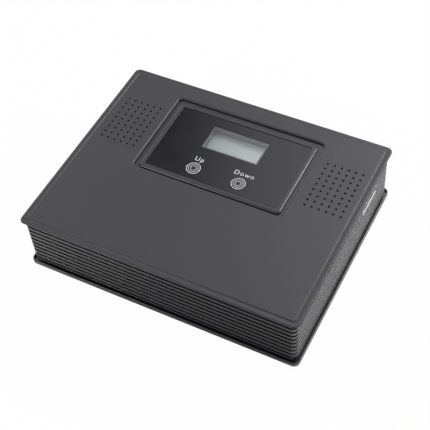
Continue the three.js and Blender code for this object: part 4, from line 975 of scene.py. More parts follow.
def frame_pin_places():
    """The middles of the four melted pins under the lid that the display surround hangs on."""
    return about(FACE_X, OPENING_Y, OPENING_WIDTH / 2 + FRAME_PIN_OUT, OPENING_DEPTH / 2 + FRAME_PIN_OUT)


def stake_outline(tip, seat, end, foot=STAKE_SHANK, foot_start=None):
    """The outline of a melted pin, from its domed head up to where it grows out of its post or plate."""
    start = end if foot_start is None else foot_start
    return [
        (0, tip), (STAKE_HEAD * 0.6, tip), (STAKE_HEAD * 0.9, tip + 0.3), (STAKE_HEAD, seat - 0.2),
        (STAKE_HEAD, seat), (STAKE_SHANK, seat), (STAKE_SHANK, start), (foot, start), (foot, end), (0, end),
    ]


def lid_boss_outline():
    """The tube under the lid that a case screw goes up into: outside, tip, bore and its blind end."""
    tip = lid_low.z
    top = LID_BOTTOM + SEAT
    return [
        (0, LID_BOTTOM), (LID_BOSS_BORE, LID_BOTTOM - 0.4), (LID_BOSS_BORE, tip + 0.4),
        (LID_BOSS_BORE + 0.4, tip), (LID_BOSS_RADIUS - 0.4, tip), (LID_BOSS_RADIUS, tip + 0.4),
        (LID_BOSS_RADIUS, top), (0, top),
    ]


def inset_of(at, width, depth):
    """How far a point lies within a rounded outline about the case's middle, seen from above."""
    from_side = width / 2 - abs(at.x)
    from_end = depth / 2 - abs(at.y - CASE_Y)
    if max(from_side, from_end) < CASE_CORNER:
        return CASE_CORNER - math.hypot(CASE_CORNER - from_side, CASE_CORNER - from_end)
    return min(from_side, from_end)


def outside_of(at, margin):
    """True for a point within the margin of the case's outline, seen from above."""
    return inset_of(at, CASE_WIDTH, CASE_DEPTH) < margin


def opening_tool():
    """A tool for the display opening, whose flared mouth is marked for the lighter edge colour of wear and
    painted sheen.
    """
    start = LID_TOP - OPENING_EDGE
    bm = slab(
        OPENING_WIDTH, OPENING_DEPTH, OPENING_CORNER, FACE_X, OPENING_Y,
        LID_BOTTOM - LID_SKIRT_DROP - PAST, start, above=fillet(OPENING_EDGE) + [(0, PAST)],
    )
    layer = layer_of(bm, "edge")
    mark([face for face in bm.faces if start < face.calc_center_median().z < LID_TOP - 0.001], layer)
    return bm


def flared_hole(radius, z0, z1, flare, sides=ROUND):
    """A tool for a round hole up through a plate, with a flared mouth at the upper face."""
    return turned([
        (0, z0 - PAST), (radius, z0 - PAST), (radius, z1 - flare), (radius + flare, z1),
        (radius + flare, z1 + PAST), (0, z1 + PAST),
    ], sides)


def vent_tools():
    tools = []
    for side in (-1, 1):
        for column in range(VENT_COLUMNS):
            for row in range(VENT_ROWS):
                from_middle = (column - (VENT_COLUMNS - 1) / 2) * VENT_PITCH_X
                x = FACE_X + side * VENT_CENTRE_OFFSET + from_middle
                y = lid_high.y - VENT_BACK_MARGIN - row * VENT_PITCH_Y
                tools.append(moved(flared_hole(VENT_RADIUS, LID_BOTTOM, LID_TOP, VENT_EDGE, 16), x, y))
    return tools


def make_body():
    width = body_high.x - body_low.x
    depth = body_high.y - body_low.y
    profile = []
    for i in range(1, RIB_COUNT):
        profile += [(GROOVE_DEPTH, 0), (0, RIB_PITCH - RIB_HEIGHT), (-GROOVE_DEPTH, 0), (0, RIB_HEIGHT)]
    first_top = BODY_BOTTOM + BOTTOM_RIB_HEIGHT
    ribs_top = first_top + (RIB_COUNT - 1) * RIB_PITCH
    profile += [(GROOVE_DEPTH, 0), (0, BODY_TOP - ribs_top), (WALL, 0), (0, BODY_BOTTOM - BODY_TOP)]
    bm = make_ring(*tower(width, depth, CASE_CORNER, 0, CASE_Y, BODY_BOTTOM, first_top, above=profile))
    soften(bm, RIB_EDGE, 3, least=60, where=lambda at: outside_of(at, 3.0))

    # Painted shade: the faces in the grooves, apart from those at the right wall, are marked for the body's
    # material to darken
    def gets_painted_groove_shade(at):
        return 0.3 < inset_of(at, width, depth) < GROOVE_DEPTH + 0.1 and at.x < width / 2 - CASE_CORNER

    layer = layer_of(bm, "painted_groove_shade")
    mark([face for face in bm.faces if gets_painted_groove_shade(face.calc_center_median())], layer)
    places = corner_places("case_screw")
    pillar_top = LID_BOTTOM - LID_BOSS_LENGTH - SEAT
    pillars = [rod(PILLAR_RADIUS, *place, BODY_BOTTOM + 0.02, pillar_top) for place in places]
    bm = united(bm, together(*pillars), together(*port_bosses()))
    bm = carved(bm, *body_tools())
    bm = carved(bm, *[rod(CASE_SCREW_SHANK + HOLE_GAP, *place, 0, pillar_top + PAST, 24) for place in places])
    piece("ribbed_body", bm, "body_plastic", "body")


def port_bosses():
    """The two posts inside the right wall with the melted pins that hold the slot's board."""
    low, high = span("control_port_board")
    seat = low.x - SEAT
    tip = seat - STAKE_HEAD_THICKNESS
    inner = body_high.x - GROOVE_DEPTH - WALL
    outline = stake_outline(0, seat - tip, inner + 1 - tip, POST_RADIUS, high.x + SEAT - tip)
    return [moved(facing_right(turned(outline, 24)), tip, *place) for place in slot_board_places()]


def slot_board_places():
    """The two fixings of the slot's board, seen from its side."""
    y, z = middle_of("control_port_board", "yz")
    return [(y + side * PORT_BOSS_SPACING / 2, z) for side in (-1, 1)]


def body_tools():
    """Tools for the pocket, window and screws of the rear panel and for the slot of the control port."""
    rear_low, rear_high = span("rear_panel")
    port_low, port_high = span("control_port_shell")
    pocket = block(
        rear_low.x - SEAT, rear_high.x + SEAT, rear_low.y - SEAT, lid_high.y + PAST,
        rear_low.z - SEAT, rear_high.z + SEAT,
    )
    window = block(
        rear_low.x + PANEL_BORDER, rear_high.x - PANEL_BORDER, body_high.y - GROOVE_DEPTH - WALL - PAST,
        rear_low.y - SEAT + 0.1, rear_low.z + PANEL_BORDER, rear_high.z - PANEL_BORDER,
    )
    slot = block(
        port_low.x - PAST, lid_high.x, port_low.y - SEAT, port_high.y + SEAT,
        port_low.z - SEAT, port_high.z + SEAT,
    )
    holes = []
    for side in ("left", "right"):
        x, z = middle_of(f"rear_panel_screw_{side}", "xz")
        holes.append(moved(facing_back(rod(1.5, 0, 0, 0, 6, 20)), x, rear_low.y - 2.3, z))
    return [pocket, window, slot, *holes]


def make_base():
    flange_top = base_low.z + FLANGE_THICKNESS
    lip_top = flange_top + LIP_RISE
    floor_top = base_low.z + FLOOR_THICKNESS
    plinth_top = BODY_BOTTOM - SEAT
    width = CASE_WIDTH - 2 * PLINTH_INSET
    depth = CASE_DEPTH - 2 * PLINTH_INSET
    flange = slab(
        CASE_WIDTH, CASE_DEPTH, CASE_CORNER, 0, CASE_Y, base_low.z, lip_top,
        above=[(LIP_THICKNESS, 0), (0, -LIP_RISE)],
    )
    soften(flange, LIP_ROUND, 5, where=lambda at: outside_of(at, 0.1) and abs(at.z - lip_top) < 0.1)
    soften(
        flange, 0.2, 2, least=60,
        where=lambda at: outside_of(at, LIP_THICKNESS + 0.1) and abs(at.z - flange_top) > 0.1,
    )
    plinth = slab(width, depth, CASE_CORNER, 0, CASE_Y, base_low.z + 0.1, plinth_top)
    hollow = slab(
        width - 2 * PLINTH_BORDER, depth - 2 * PLINTH_BORDER, CASE_CORNER, 0, CASE_Y,
        floor_top, plinth_top + PAST,
    )
    bm = carved(united(flange, plinth), hollow)
    pillars = corner_places("case_screw")
    screws = corner_places("board_screw")
    middle = (screws[0][0] + screws[1][0]) / 2
    props = [(middle, screws[0][1]), (middle, screws[2][1])]
    pads = [rod(PILLAR_RADIUS, *place, floor_top - 1, plinth_top - 0.02) for place in pillars]
    posts = [rod(STANDOFF_RADIUS, *place, floor_top - 1, board_low - SEAT, 24) for place in screws + props]
    bm = united(bm, together(*pads), together(*posts))
    holes = [rod(CASE_SCREW_SHANK + HOLE_GAP, *place, 0, plinth_top + PAST, 24) for place in pillars]
    sinks = [rod(CASE_SCREW_HEAD + HOLE_GAP, *place, 0, base_low.z + CASE_SCREW_SINK) for place in pillars]
    bite = board_low - BOARD_SCREW_BITE
    bores = [rod(BOARD_SCREW_SHANK + HOLE_GAP, *place, bite, board_low, 16) for place in screws]
    peg_top = base_low.z + PEG_LENGTH
    pegs = [rod(PEG_RADIUS + HOLE_GAP, *place, 0, peg_top, 24) for place in corner_places("foot")]
    bm = carved(carved(carved(bm, *holes), *sinks), *bores, *pegs)
    piece("base_tray", bm, "base_plastic", "base")


# Display

def make_display_frame():
    flange_top = LID_BOTTOM - SEAT
    flange_bottom = flange_top - FRAME_FLOOR
    flange = slab(
        frame_high.x - frame_low.x, frame_high.y - frame_low.y, FRAME_FLANGE_CORNER, FACE_X, OPENING_Y,
        flange_bottom, flange_top,
    )
    raised_top = frame_high.z
    straight = raised_top - FRAME_EDGE
    raised = slab(
        FRAME_WIDTH, FRAME_DEPTH, FRAME_CORNER, FACE_X, FRAME_Y, flange_top - SEAT, straight,
        above=[(share * FRAME_EDGE, share * FRAME_EDGE) for share in (0.42, 0.58)],
    )
    soften(raised, 0.3, 2, least=10, where=lambda at: at.z > straight - NEAR)
    pocket = slab(
        panel_high.x - panel_low.x + 2 * SEAT, panel_high.y - panel_low.y + 2 * SEAT, PANEL_CORNER,
        FACE_X, PANEL_Y, flange_top, raised_top - 0.3, above=fillet(0.3, 3) + [(0, PAST)],
    )
    bm = carved(united(flange, raised), pocket)
    through = (flange_bottom - PAST, flange_top + PAST)
    window = slab(SIGHT_WIDTH + 2, SIGHT_DEPTH + 2, 1, WINDOW_X, WINDOW_Y, *through)
    holes = [rod(KEY_FLANGE + SEAT, *key_place(name), *through) for name in KEYS]
    pin_holes = [rod(STAKE_SHANK + HOLE_GAP, *place, *through, 20) for place in frame_pin_places()]
    bm = carved(bm, window, *holes, *pin_holes)
    low, high = span("display_board")
    seat = low.z - SEAT
    tip = seat - STAKE_HEAD_THICKNESS
    outline = stake_outline(tip, seat, flange_bottom + 0.3, POST_RADIUS, high.z + SEAT)
    posts = [moved(turned(outline, 24), *place) for place in post_places()]
    piece("display_surround", together(bm, *posts), "frame_plastic", "display_frame")


def post_places():
    """The middles of the four posts that carry the display's board."""
    low, high = span("display_board")
    reach_x = (high.x - low.x) / 2 - POST_INSET
    reach_y = (high.y - low.y) / 2 - POST_INSET
    return about(*middle_of("display_board"), reach_x, reach_y)


def make_panel():
    bm = slab(
        panel_high.x - panel_low.x, panel_high.y - panel_low.y, PANEL_CORNER, FACE_X, PANEL_Y,
        panel_low.z, panel_high.z,
    )
    soften(bm, 0.22, 3)
    edge = 0.15
    window = slab(
        SIGHT_WIDTH + 2, SIGHT_DEPTH + 2, 0.8, WINDOW_X, WINDOW_Y, panel_low.z - PAST, panel_high.z - edge,
        above=fillet(edge, 2) + [(0, PAST)],
    )
    holes = [
        moved(flared_hole(KEY_RADIUS + SEAT, panel_low.z, panel_high.z, edge), *key_place(name))
        for name in KEYS
    ]
    piece("glossy_panel", carved(bm, window, *holes), "glossy_black", "display_panel")


def make_window():
    """The pale walls of the display's window, and the clear pane that closes it."""
    collar = slab(
        SIGHT_WIDTH + 2 * WINDOW_WALL, SIGHT_DEPTH + 2 * WINDOW_WALL, 0.6, WINDOW_X, WINDOW_Y,
        window_low.z, window_high.z,
    )
    soften(collar, 0.15, 2, where=lambda at: at.z > window_high.z - NEAR)
    foot = slab(
        window_high.x - window_low.x, window_high.y - window_low.y, 1, WINDOW_X, WINDOW_Y,
        window_low.z, LID_BOTTOM - FRAME_FLOOR - 2 * SEAT,
    )
    sight = slab(
        SIGHT_WIDTH, SIGHT_DEPTH, 0.4, WINDOW_X, WINDOW_Y, window_low.z - PAST, window_high.z - 0.15,
        above=fillet(0.15, 2) + [(0, PAST)],
    )
    piece("window_walls", carved(united(foot, collar), sight), "pale_plastic", "window_frame")
    piece("window_pane", filled("window_lens", 0.1), "window_glass", "window_lens")


def make_display_cell():
    """The display: a lower glass with contact ledges, a smaller upper glass, its polariser and its legs."""
    glass_low = cell_high.z - CELL_THICKNESS
    middle = glass_low + LOWER_GLASS
    front, back = cell_low.y + CONTACT_LEDGE, cell_high.y - CONTACT_LEDGE
    lower = block(cell_low.x, cell_high.x, cell_low.y, cell_high.y, glass_low, middle, 0.12, 1)
    upper = block(cell_low.x + 0.6, cell_high.x - 0.6, front, back, middle, cell_high.z - FILM, 0.12, 1)
    piece("display_glass", together(lower, upper), "cell_glass", "display_cell")
    sheet = slab(
        cell_high.x - cell_low.x - 3, cell_high.y - cell_low.y - 2 * CONTACT_LEDGE - 1.5, 0.5,
        WINDOW_X, WINDOW_Y, cell_high.z - FILM, cell_high.z,
    )
    piece("display_polariser", sheet, "display_face")
    legs = []
    for y in (cell_low.y + 0.8, cell_high.y - 0.8):
        for i in range(DISPLAY_LEG_PAIRS):
            x = WINDOW_X + (i - (DISPLAY_LEG_PAIRS - 1) / 2) * DISPLAY_LEG_PITCH
            legs.append(block(x - 0.5, x + 0.5, y - 0.3, y + 0.3, cell_low.z, glass_low + 0.4, 0.1, 1))
            legs.append(block(x - 0.5, x + 0.5, y - 0.3, y + 0.8, middle - 0.1, middle + 0.3, 0.1, 1))
    piece("display_legs", together(*legs), "zinc_steel")


# Keys and printing

def key_place(name):
    """The middle of a key, seen from above."""
    return middle_of(f"switch_plunger_{name}")


def make_keys():
    for name in KEYS:
        low, high = span(f"key_{name}")
        place = key_place(name)
        seat = panel_low.z - SEAT
        flange = seat - KEY_FLANGE_THICKNESS
        cap = turned([
            (0, low.z), (KEY_STEM - 0.3, low.z), (KEY_STEM, low.z + 0.3), (KEY_STEM, flange - 0.4),
            (KEY_STEM + 0.4, flange), (KEY_FLANGE - 0.3, flange), (KEY_FLANGE, flange + 0.3),
            (KEY_FLANGE, flange + 0.9), (KEY_FLANGE - 0.3, flange + KEY_FLANGE_THICKNESS),
            (KEY_RADIUS, flange + KEY_FLANGE_THICKNESS),
            (KEY_RADIUS, high.z - 0.22), (KEY_RADIUS - 0.07, high.z - 0.07), (KEY_RADIUS - 0.22, high.z),
            (0, high.z),
        ], 64)
        piece(f"key_cap_{name}", moved(cap, *place), "glossy_black", f"key_{name}", body=f"key_{name}")
        rings = [moved(printed_ring(inner, outer, high.z), *place) for inner, outer in RING_PRINTS]
        piece(f"key_rings_{name}", together(*rings), "print_white", body=f"key_{name}")


def printed_ring(inner, outer, z):
    """A ring of white print that stands a hair above the key."""
    bottom, top = z - PRINT_SINK, z + PRINT_RISE
    return turned([(inner, bottom), (outer, bottom), (outer, top), (inner, top), (inner, bottom)], 64)


def make_words():
    """The two words over the keys, as raised white print."""
    for name in KEYS:
        x, y = key_place(name)
        curve = bpy.data.curves.new(f"word_{name}", 'FONT')
        curve.body = name.capitalize()
        curve.size = WORD_SIZE
        curve.space_character = WORD_SPACING
        curve.align_x = 'CENTER'
        curve.extrude = (PRINT_RISE + PRINT_SINK) / 2
        curve.offset = WORD_WEIGHT
        bm = from_curve(curve)
        moved(bm, x + WORD_SHIFT, y + WORD_RISE, panel_high.z + (PRINT_RISE - PRINT_SINK) / 2)
        piece(f"print_{name}", bm, "print_white")


# Feet and fasteners

def make_feet():
    top = base_low.z - SEAT
    for corner in CORNERS:
        peg_top = span(f"foot_{corner}")[1].z
        pad = turned([
            (0, 0.5), (4.2, 0.5), (4.6, 0.1), (4.9, 0), (5.9, 0), (6.5, 0.2), (6.8, 0.6), (7, 1.2),
            (7, top - 0.3), (6.8, top), (PEG_RADIUS, top), (PEG_RADIUS, peg_top - 0.4),
            (PEG_RADIUS - 0.4, peg_top), (0, peg_top),
        ], 40)
        name = f"foot_{corner}"
        piece(f"rubber_{name}", moved(pad, *middle_of(name)), "foot_rubber", name)


def cross_recess(width, depth, top):
    """A tool for the cross in a screw's head: two tapered bars that meet in the middle."""
    bars = []
    for quarters in (0, 1):
        bar = block(-width / 2, width / 2, -width / 9, width / 9, top - depth, top + 0.3)
        for corner in bar.verts:
            if corner.co.z < top:
                corner.co.x *= 0.45
                corner.co.y *= 0.7
        bars.append(rotated(bar, quarters, 'Z'))
    return united(*bars)


def screw(head, rise, shank, thread, length):
    """A screw that stands point down: a domed head above z = 0 with a cross in it, and a threaded shank."""
    start = -length + shank * 0.7
    outline = [(0, -length), (shank * 0.5, -length), (shank, start)]
    for i in range(int((length * 0.55) / thread)):
        z = start + i * thread
        outline += [(shank * 0.82, z + thread * 0.3), (shank * 0.82, z + thread * 0.5), (shank, z + thread)]
    outline += [
        (shank, 0), (head, 0), (head, rise * 0.35), (head * 0.93, rise * 0.68), (head * 0.72, rise * 0.92),
        (head * 0.45, rise), (0, rise),
    ]
    return carved(turned(outline, 32), cross_recess(head * 1.15, rise * 0.75, rise))


def make_screws():
    def finish(name, made, *place):
        piece(f"cross_{name}", moved(made, *place), "zinc_steel", name)

    for corner in CORNERS:
        name = f"case_screw_{corner}"
        low, high = span(name)
        seat = low.z + CASE_SCREW[1]
        finish(name, rotated(screw(*CASE_SCREW, high.z - seat), 2, 'X'), *middle_of(name), seat)
        name = f"board_screw_{corner}"
        low, high = span(name)
        seat = high.z - BOARD_SCREW[1]
        finish(name, screw(*BOARD_SCREW, seat - low.z), *middle_of(name), seat)
    for side in ("left", "right"):
        name = f"rear_panel_screw_{side}"
        low, high = span(name)
        x, z = middle_of(name, "xz")
        seat = high.y - REAR_SCREW[1]
        finish(name, facing_back(screw(*REAR_SCREW, seat - low.y)), x, seat, z)


def hexagon_nut(radius, thickness, bore, edge=0.6):
    """A six-sided nut that stands on z = 0, with its corners turned off and its bore opened at both ends."""
    bm = bmesh.new()
    bmesh.ops.create_circle(bm, cap_ends=True, radius=radius, segments=6)
    drawn_out(bm, (0, 0, thickness))
    bmesh.ops.recalc_face_normals(bm, faces=bm.faces)
    flat = radius * math.cos(math.pi / 6) * 0.99
    round_off = turned([
        (0, 0), (flat, 0), (radius + 0.1, edge), (radius + 0.1, thickness - edge), (flat, thickness),
        (0, thickness),
    ], 72)
    open_end = 0.5
    mouth = bore + open_end + 1
    hole = turned([
        (0, -PAST), (mouth, -PAST), (bore, open_end), (bore, thickness - open_end),
        (mouth, thickness + PAST), (0, thickness + PAST),
    ], 40)
    return carved(combined(bm, round_off, 'INTERSECT'), hole)


def teeth(radius, start, end, pitch, depth):
    """The outline of a thread, from one height to the other."""
    outline = []
    for i in range(int((end - start) / pitch)):
        z = start + i * pitch
        outline += [(radius, z + pitch * 0.12), (radius - depth, z + pitch * 0.5), (radius, z + pitch * 0.88)]
    return outline


# Back wall

def on_back(name, made, finish, replaced):
    """Points a turned piece to the back and sets it where the node is that it replaces."""
    x, z = middle_of(replaced, "xz")
    piece(name, moved(facing_back(made), x, span(replaced)[0].y, z), finish, replaced)


def make_rear_panel():
    low = span("rear_panel")[0]
    bm = filled("rear_panel")
    upright = [e for e in bm.edges if abs((e.verts[0].co - e.verts[1].co).y) > 0.5]
    bmesh.ops.bevel(
        bm, geom=upright, affect='EDGES', offset=1.2, offset_type='OFFSET', segments=5, profile=0.5,
        material=-1,
    )
    soften(bm, 0.25, 2)
    z, = middle_of("rear_panel", "z")
    holes = {
        "rf_output_nut": SOCKET_RADIUS + SEAT, "rf_input_nut": SOCKET_RADIUS + SEAT,
        "ground_nut": 2.85, "power_jack_nut": 4.3,
        "rear_panel_screw_left": 1.55, "rear_panel_screw_right": 1.55,
    }
    tools = [
        moved(facing_back(rod(radius, 0, 0, -PAST, 4, 40)), middle_of(name)[0], low.y, z)
        for name, radius in holes.items()
    ]
    piece("rear_plate", carved(bm, *tools), "rear_paint", "rear_panel")


def make_sockets():
    """The two coaxial sockets: threaded barrel, ring nut, white core and slit centre pin."""
    for name in ("rf_output", "rf_input"):
        low, high = span(f"{name}_shell")
        length = high.y - low.y
        plate_y = span("rear_panel")[0].y - SEAT - low.y
        bore, radius, tail, wide = SOCKET_BORE, SOCKET_RADIUS, SOCKET_TAIL, SOCKET_FLANGE
        shell = turned([
            (bore, 0), (tail - 0.3, 0), (tail, 0.3), (tail, plate_y - 2.5), (wide - 0.3, plate_y - 2.5),
            (wide, plate_y - 2.2), (wide, plate_y - 0.2), (wide - 0.2, plate_y), (radius, plate_y),
            *teeth(radius, plate_y + 0.5, length - 0.9, *SOCKET_THREAD),
            (radius, length - 0.7), (radius - 0.6, length), (bore + 0.4, length), (bore, length - 0.4),
            (bore, 0),
        ], 64)
        notches = [
            rotated(block(bore - 0.5, radius + PAST, -0.9, 0.9, length - 1.3, length + PAST), 0.5 + turn, 'Z')
            for turn in range(4)
        ]
        on_back(f"{name}_barrel", carved(shell, *notches), "bright_nickel", f"{name}_shell")

        low, high = span(f"{name}_nut")
        nut = hexagon_nut(RING_NUT, high.y - low.y, radius + 0.1, 0.9)
        on_back(f"{name}_ring_nut", nut, "bright_nickel", f"{name}_nut")

        low, high = span(f"{name}_insulator")
        start = low.y - 2
        length = high.y - low.y
        core = turned([
            (2.8, 0), (5.2, 0), (5.5, 0.3), (5.5, length - 3), (5.5, length - 0.4), (5.1, length),
            (4.4, length), (4.2, length - 1.6), (3.9, length - 1.8), (3.6, length - 1.6), (3.4, length - 0.3),
            (3.1, length), (2.8, length - 0.3), (2.8, 0),
        ], 48)
        on_back(f"{name}_core", core, "white_insulator", f"{name}_insulator")

        low, high = span(f"{name}_contact")
        x, z = middle_of(f"{name}_shell", "xz")
        length = high.y - start
        tube = turned([
            (0, 0), (2.2, 0), (2.5, 0.3), (2.5, length - 0.5), (2.3, length), (2.05, length),
            (1.9, length - 0.3), (1.9, length - 9), (0, length - 9.6),
        ], 32)
        slits = [
            rotated(block(-3, 3, -0.22, 0.22, length - 6, length + PAST), turn, 'Z') for turn in range(2)
        ]
        tube = moved(facing_back(carved(tube, united(*slits))), x, start, z)
        lead_back = block(x - 1.5, x + 1.5, low.y, start + 1, z - 0.5, z + 0.5, 0.15, 2)
        lead_down = block(x - 1.5, x + 1.5, low.y, low.y + 1, low.z, z + 0.5, 0.15, 2)
        piece(f"{name}_pin", together(tube, lead_back, lead_down), "turned_brass", f"{name}_contact")


def make_ground_terminal():
    low, high = span("ground_stud")
    length = high.y - low.y
    stud = turned([
        (0, 2.6), (STUD_RADIUS, 2.6), *teeth(STUD_RADIUS, 3.2, length - 0.6, *STUD_THREAD),
        (STUD_RADIUS, length - 0.6), (STUD_RADIUS - 0.5, length), (0, length),
    ], 32)
    on_back("ground_post", together(stud, hexagon_nut(STUD_NUT, 3, 0.4, 0.4)), "turned_brass", "ground_stud")
    low, high = span("ground_nut")
    nut = hexagon_nut(STUD_NUT, high.y - low.y, STUD_RADIUS + 0.1, 0.5)
    on_back("ground_hexagon", nut, "turned_brass", "ground_nut")


def make_power_jack():
    low, high = span("power_jack")
    x, z = middle_of("power_jack", "xz")
    length = high.y - low.y
    radius, shoulder = INLET_RADIUS, INLET_SHOULDER
    jack = turned([
        (0, 0), (5.1, 0), (5.5, 0.4), (5.5, shoulder - 0.3), (5.2, shoulder), (radius, shoulder),
        *teeth(radius, shoulder + 0.4, length - 1.4, *INLET_THREAD),
        (radius, length - 1.1), (4.5, length - 1.0), (4.5, length - 0.3), (4.2, length), (3.2, length),
        (2.9, length - 0.3), (2.9, 2), (0, 2),
    ], 48)
    on_back("power_socket", jack, "inner_black", "power_jack")
    pin_outline = [(0, 1.5), (1.05, 1.5), (1.05, length - 1.6), (0.8, length - 1.15), (0, length - 1)]
    piece("power_socket_pin", moved(facing_back(turned(pin_outline, 24)), x, low.y, z), "bright_nickel")
    low, high = span("power_jack_nut")
    nut = hexagon_nut(INLET_NUT, high.y - low.y, radius + 0.1, 0.4)
    on_back("power_socket_nut", nut, "bright_nickel", "power_jack_nut")


def make_control_port():
    """The metal-lined slot in the right wall: its thick lower lip, and the contact block and tongue in it."""
    low, high = span("control_port_shell")
    mouth = block(
        low.x - PAST, high.x + PAST, low.y + PORT_WALL, high.y - PORT_WALL,
        low.z + PORT_LIP, high.z - PORT_WALL,
    )
    lining = carved(filled("control_port_shell", 0.3, 3), mouth)
    soften(lining, 0.15, 2, least=60, where=lambda at: at.x > high.x - NEAR)
    piece("port_lining", lining, "port_nickel", "control_port_shell")
    piece("port_block", filled("control_port_insert", 0.2), "inner_black", "control_port_insert")
    start = span("control_port_insert")[1].x
    y, z = middle_of("control_port_insert", "yz")
    reach = high.x - PORT_TONGUE_SETBACK
    half_width = PORT_CONTACTS * PORT_CONTACT_PITCH / 2
    tongue = block(start - 0.5, reach, y - half_width, y + half_width, z - 0.55, z + 0.55, 0.2, 2)
    contacts = []
    for i in range(PORT_CONTACTS):
        middle = y + (i - (PORT_CONTACTS - 1) / 2) * PORT_CONTACT_PITCH
        sides = (start - 0.2, reach - 0.4, middle - 0.5, middle + 0.5)
        contacts.append(block(*sides, z + 0.5, z + 0.62, 0.05, 1))
        contacts.append(block(*sides, z - 0.62, z - 0.5, 0.05, 1))
    piece("port_tongue", tongue, "inner_black")
    piece("port_contacts", together(*contacts), "turned_brass")


# Parts on the boards

def strip(outline, width):
    """A strip with the given outline in the upright plane along X, and its width along Y."""
    bm = bmesh.new()
    bm.faces.new([bm.verts.new((x, -width / 2, z)) for x, z in outline])
    drawn_out(bm, (0, width, 0))
    bmesh.ops.recalc_face_normals(bm, faces=bm.faces)
    return bm


def band(route, thickness):
    """The outline of a thin strip that follows a route of points."""
    points = [Vector(point) for point in route]
    left = []
    right = []
    for i, point in enumerate(points):
        before = (point - points[max(i - 1, 0)]).normalized()
        after = (points[min(i + 1, len(points) - 1)] - point).normalized()
        along = (before + after).normalized()
        across = Vector((-along.y, along.x)) * thickness / 2
        left.append(point + across)
        right.append(point - across)
    return left + right[::-1]


def spread(count, pitch):
    """Places about zero, a pitch apart."""
    return [(i - (count - 1) / 2) * pitch for i in range(count)]


def flat_cable(route, width):
    """A flat cable: round-backed wires side by side on a thin web."""
    pitch = width / CABLE_WIRES
    wires = [moved(strip(band(route, 0.75), pitch * 0.72), 0, at) for at in spread(CABLE_WIRES, pitch)]
    return together(strip(band(route, 0.3), width - 0.2), *wires)


def sway(start, end, count):
    """A smooth drop from one point to the other, for a cable: down, across and down."""
    route = []
    for i in range(count + 1):
        share = i / count
        eased = share * share * (3 - 2 * share)
        route.append((start[0] + (end[0] - start[0]) * eased, start[1] + (end[1] - start[1]) * share))
    return route


def drilled_board(name, node_name, holes, radius):
    low, high = span(node_name)
    bm = slab(high.x - low.x, high.y - low.y, BOARD_CORNER, *middle_of(node_name), low.z, high.z)
    soften(bm, 0.1, 1, least=60)
    bm = carved(bm, *[rod(radius, *place, low.z - PAST, high.z + PAST, 20) for place in holes])
    piece(name, bm, "board_green", node_name)


def pin(x, y, z0, z1, radius=0.35):
    """A tinned pin with a pad on the board's upper side and a cone of solder under it."""
    top = span("main_board")[1].z
    outline = [
        (0, z0), (radius, z0), (radius * 1.3, board_low - 0.9), (radius * 3, board_low - 0.02),
        (radius * 3, top + 0.05), (radius, top + 0.12), (radius, z1), (0, z1),
    ]
    return moved(turned(outline, 8), x, y)


def row_places(node_name, width):
    """The number and middle along X of each part of a row, whose outer ones reach the node's ends."""
    low, high = span(node_name)
    pitch = (high.x - low.x - width) / (RELAY_COUNT - 1)
    return [(i + 1, low.x + width / 2 + i * pitch) for i in range(RELAY_COUNT)]


def make_relays():
    """Two rows of sealed relays: a rounded case with a marked corner on a dark base, and eight pins each."""
    for name in ("inductor", "capacitor"):
        row = f"{name}_relays"
        low, high = span(row)
        y = (low.y + high.y) / 2
        depth = high.y - low.y
        foot_reach = depth / 2 - 0.3
        foot_top = low.z + RELAY_FOOT
        rows = [(side * RELAY_PIN_REACH, at) for side in (-1, 1) for at in spread(*RELAY_PINS)]
        pins = []
        feet = []
        for number, x in row_places(row, RELAY_WIDTH):
            case = slab(
                RELAY_WIDTH, depth, 0.7, x, y, foot_top, high.z - 0.5, above=fillet_in(0.5), arc=4,
            )
            nib = turned([(0, high.z - 0.2), (0.9, high.z - 0.2), (0.7, high.z), (0, high.z)], 16)
            stripe = block(x - 5.5, x + 5.5, y - 8.6, y - 8.1, high.z - 0.1, high.z - 0.03)
            whole = together(case, moved(nib, x - 4.2, y + 8), stripe)
            feet.append(block(x - 6, x + 6, y - foot_reach, y + foot_reach, low.z, foot_top + 0.1, 0.15, 1))
            piece(f"{name}_relay_{number}", whole, "relay_blue", row if number == 1 else None)
            pins += [pin(x + across, y + along, PIN_END, foot_top) for across, along in rows]
        piece(f"{name}_relay_feet", together(*feet), "inner_black")
        piece(f"{name}_relay_pins", together(*pins), "zinc_steel")


def make_tuning_capacitors():
    """The dipped capacitors: pillow-shaped bodies on two leads each."""
    row = "tuning_capacitors"
    low, high = span(row)
    y = (low.y + high.y) / 2
    half = CAPACITOR_WIDTH / 2
    dip = [(0, 1.4), (0.5, 1.4), (0.9, 2.6), (1.2, 4), (0, 4)]
    leads = []
    for number, x in row_places(row, CAPACITOR_WIDTH):
        legs = [x + side * LEG_PITCH for side in (-1, 1)]
        dips = [moved(turned(dip, 12), leg, y, low.z) for leg in legs]
        whole = united(block(x - half, x + half, low.y, high.y, low.z + 2.6, high.z, 1.7, 5), *dips)
        piece(f"tuning_capacitor_{number}", whole, "dipped_brown", row if number == 1 else None)
        leads += [pin(leg, y, PIN_END, low.z + 2, 0.3) for leg in legs]
    piece("tuning_capacitor_leads", together(*leads), "zinc_steel")


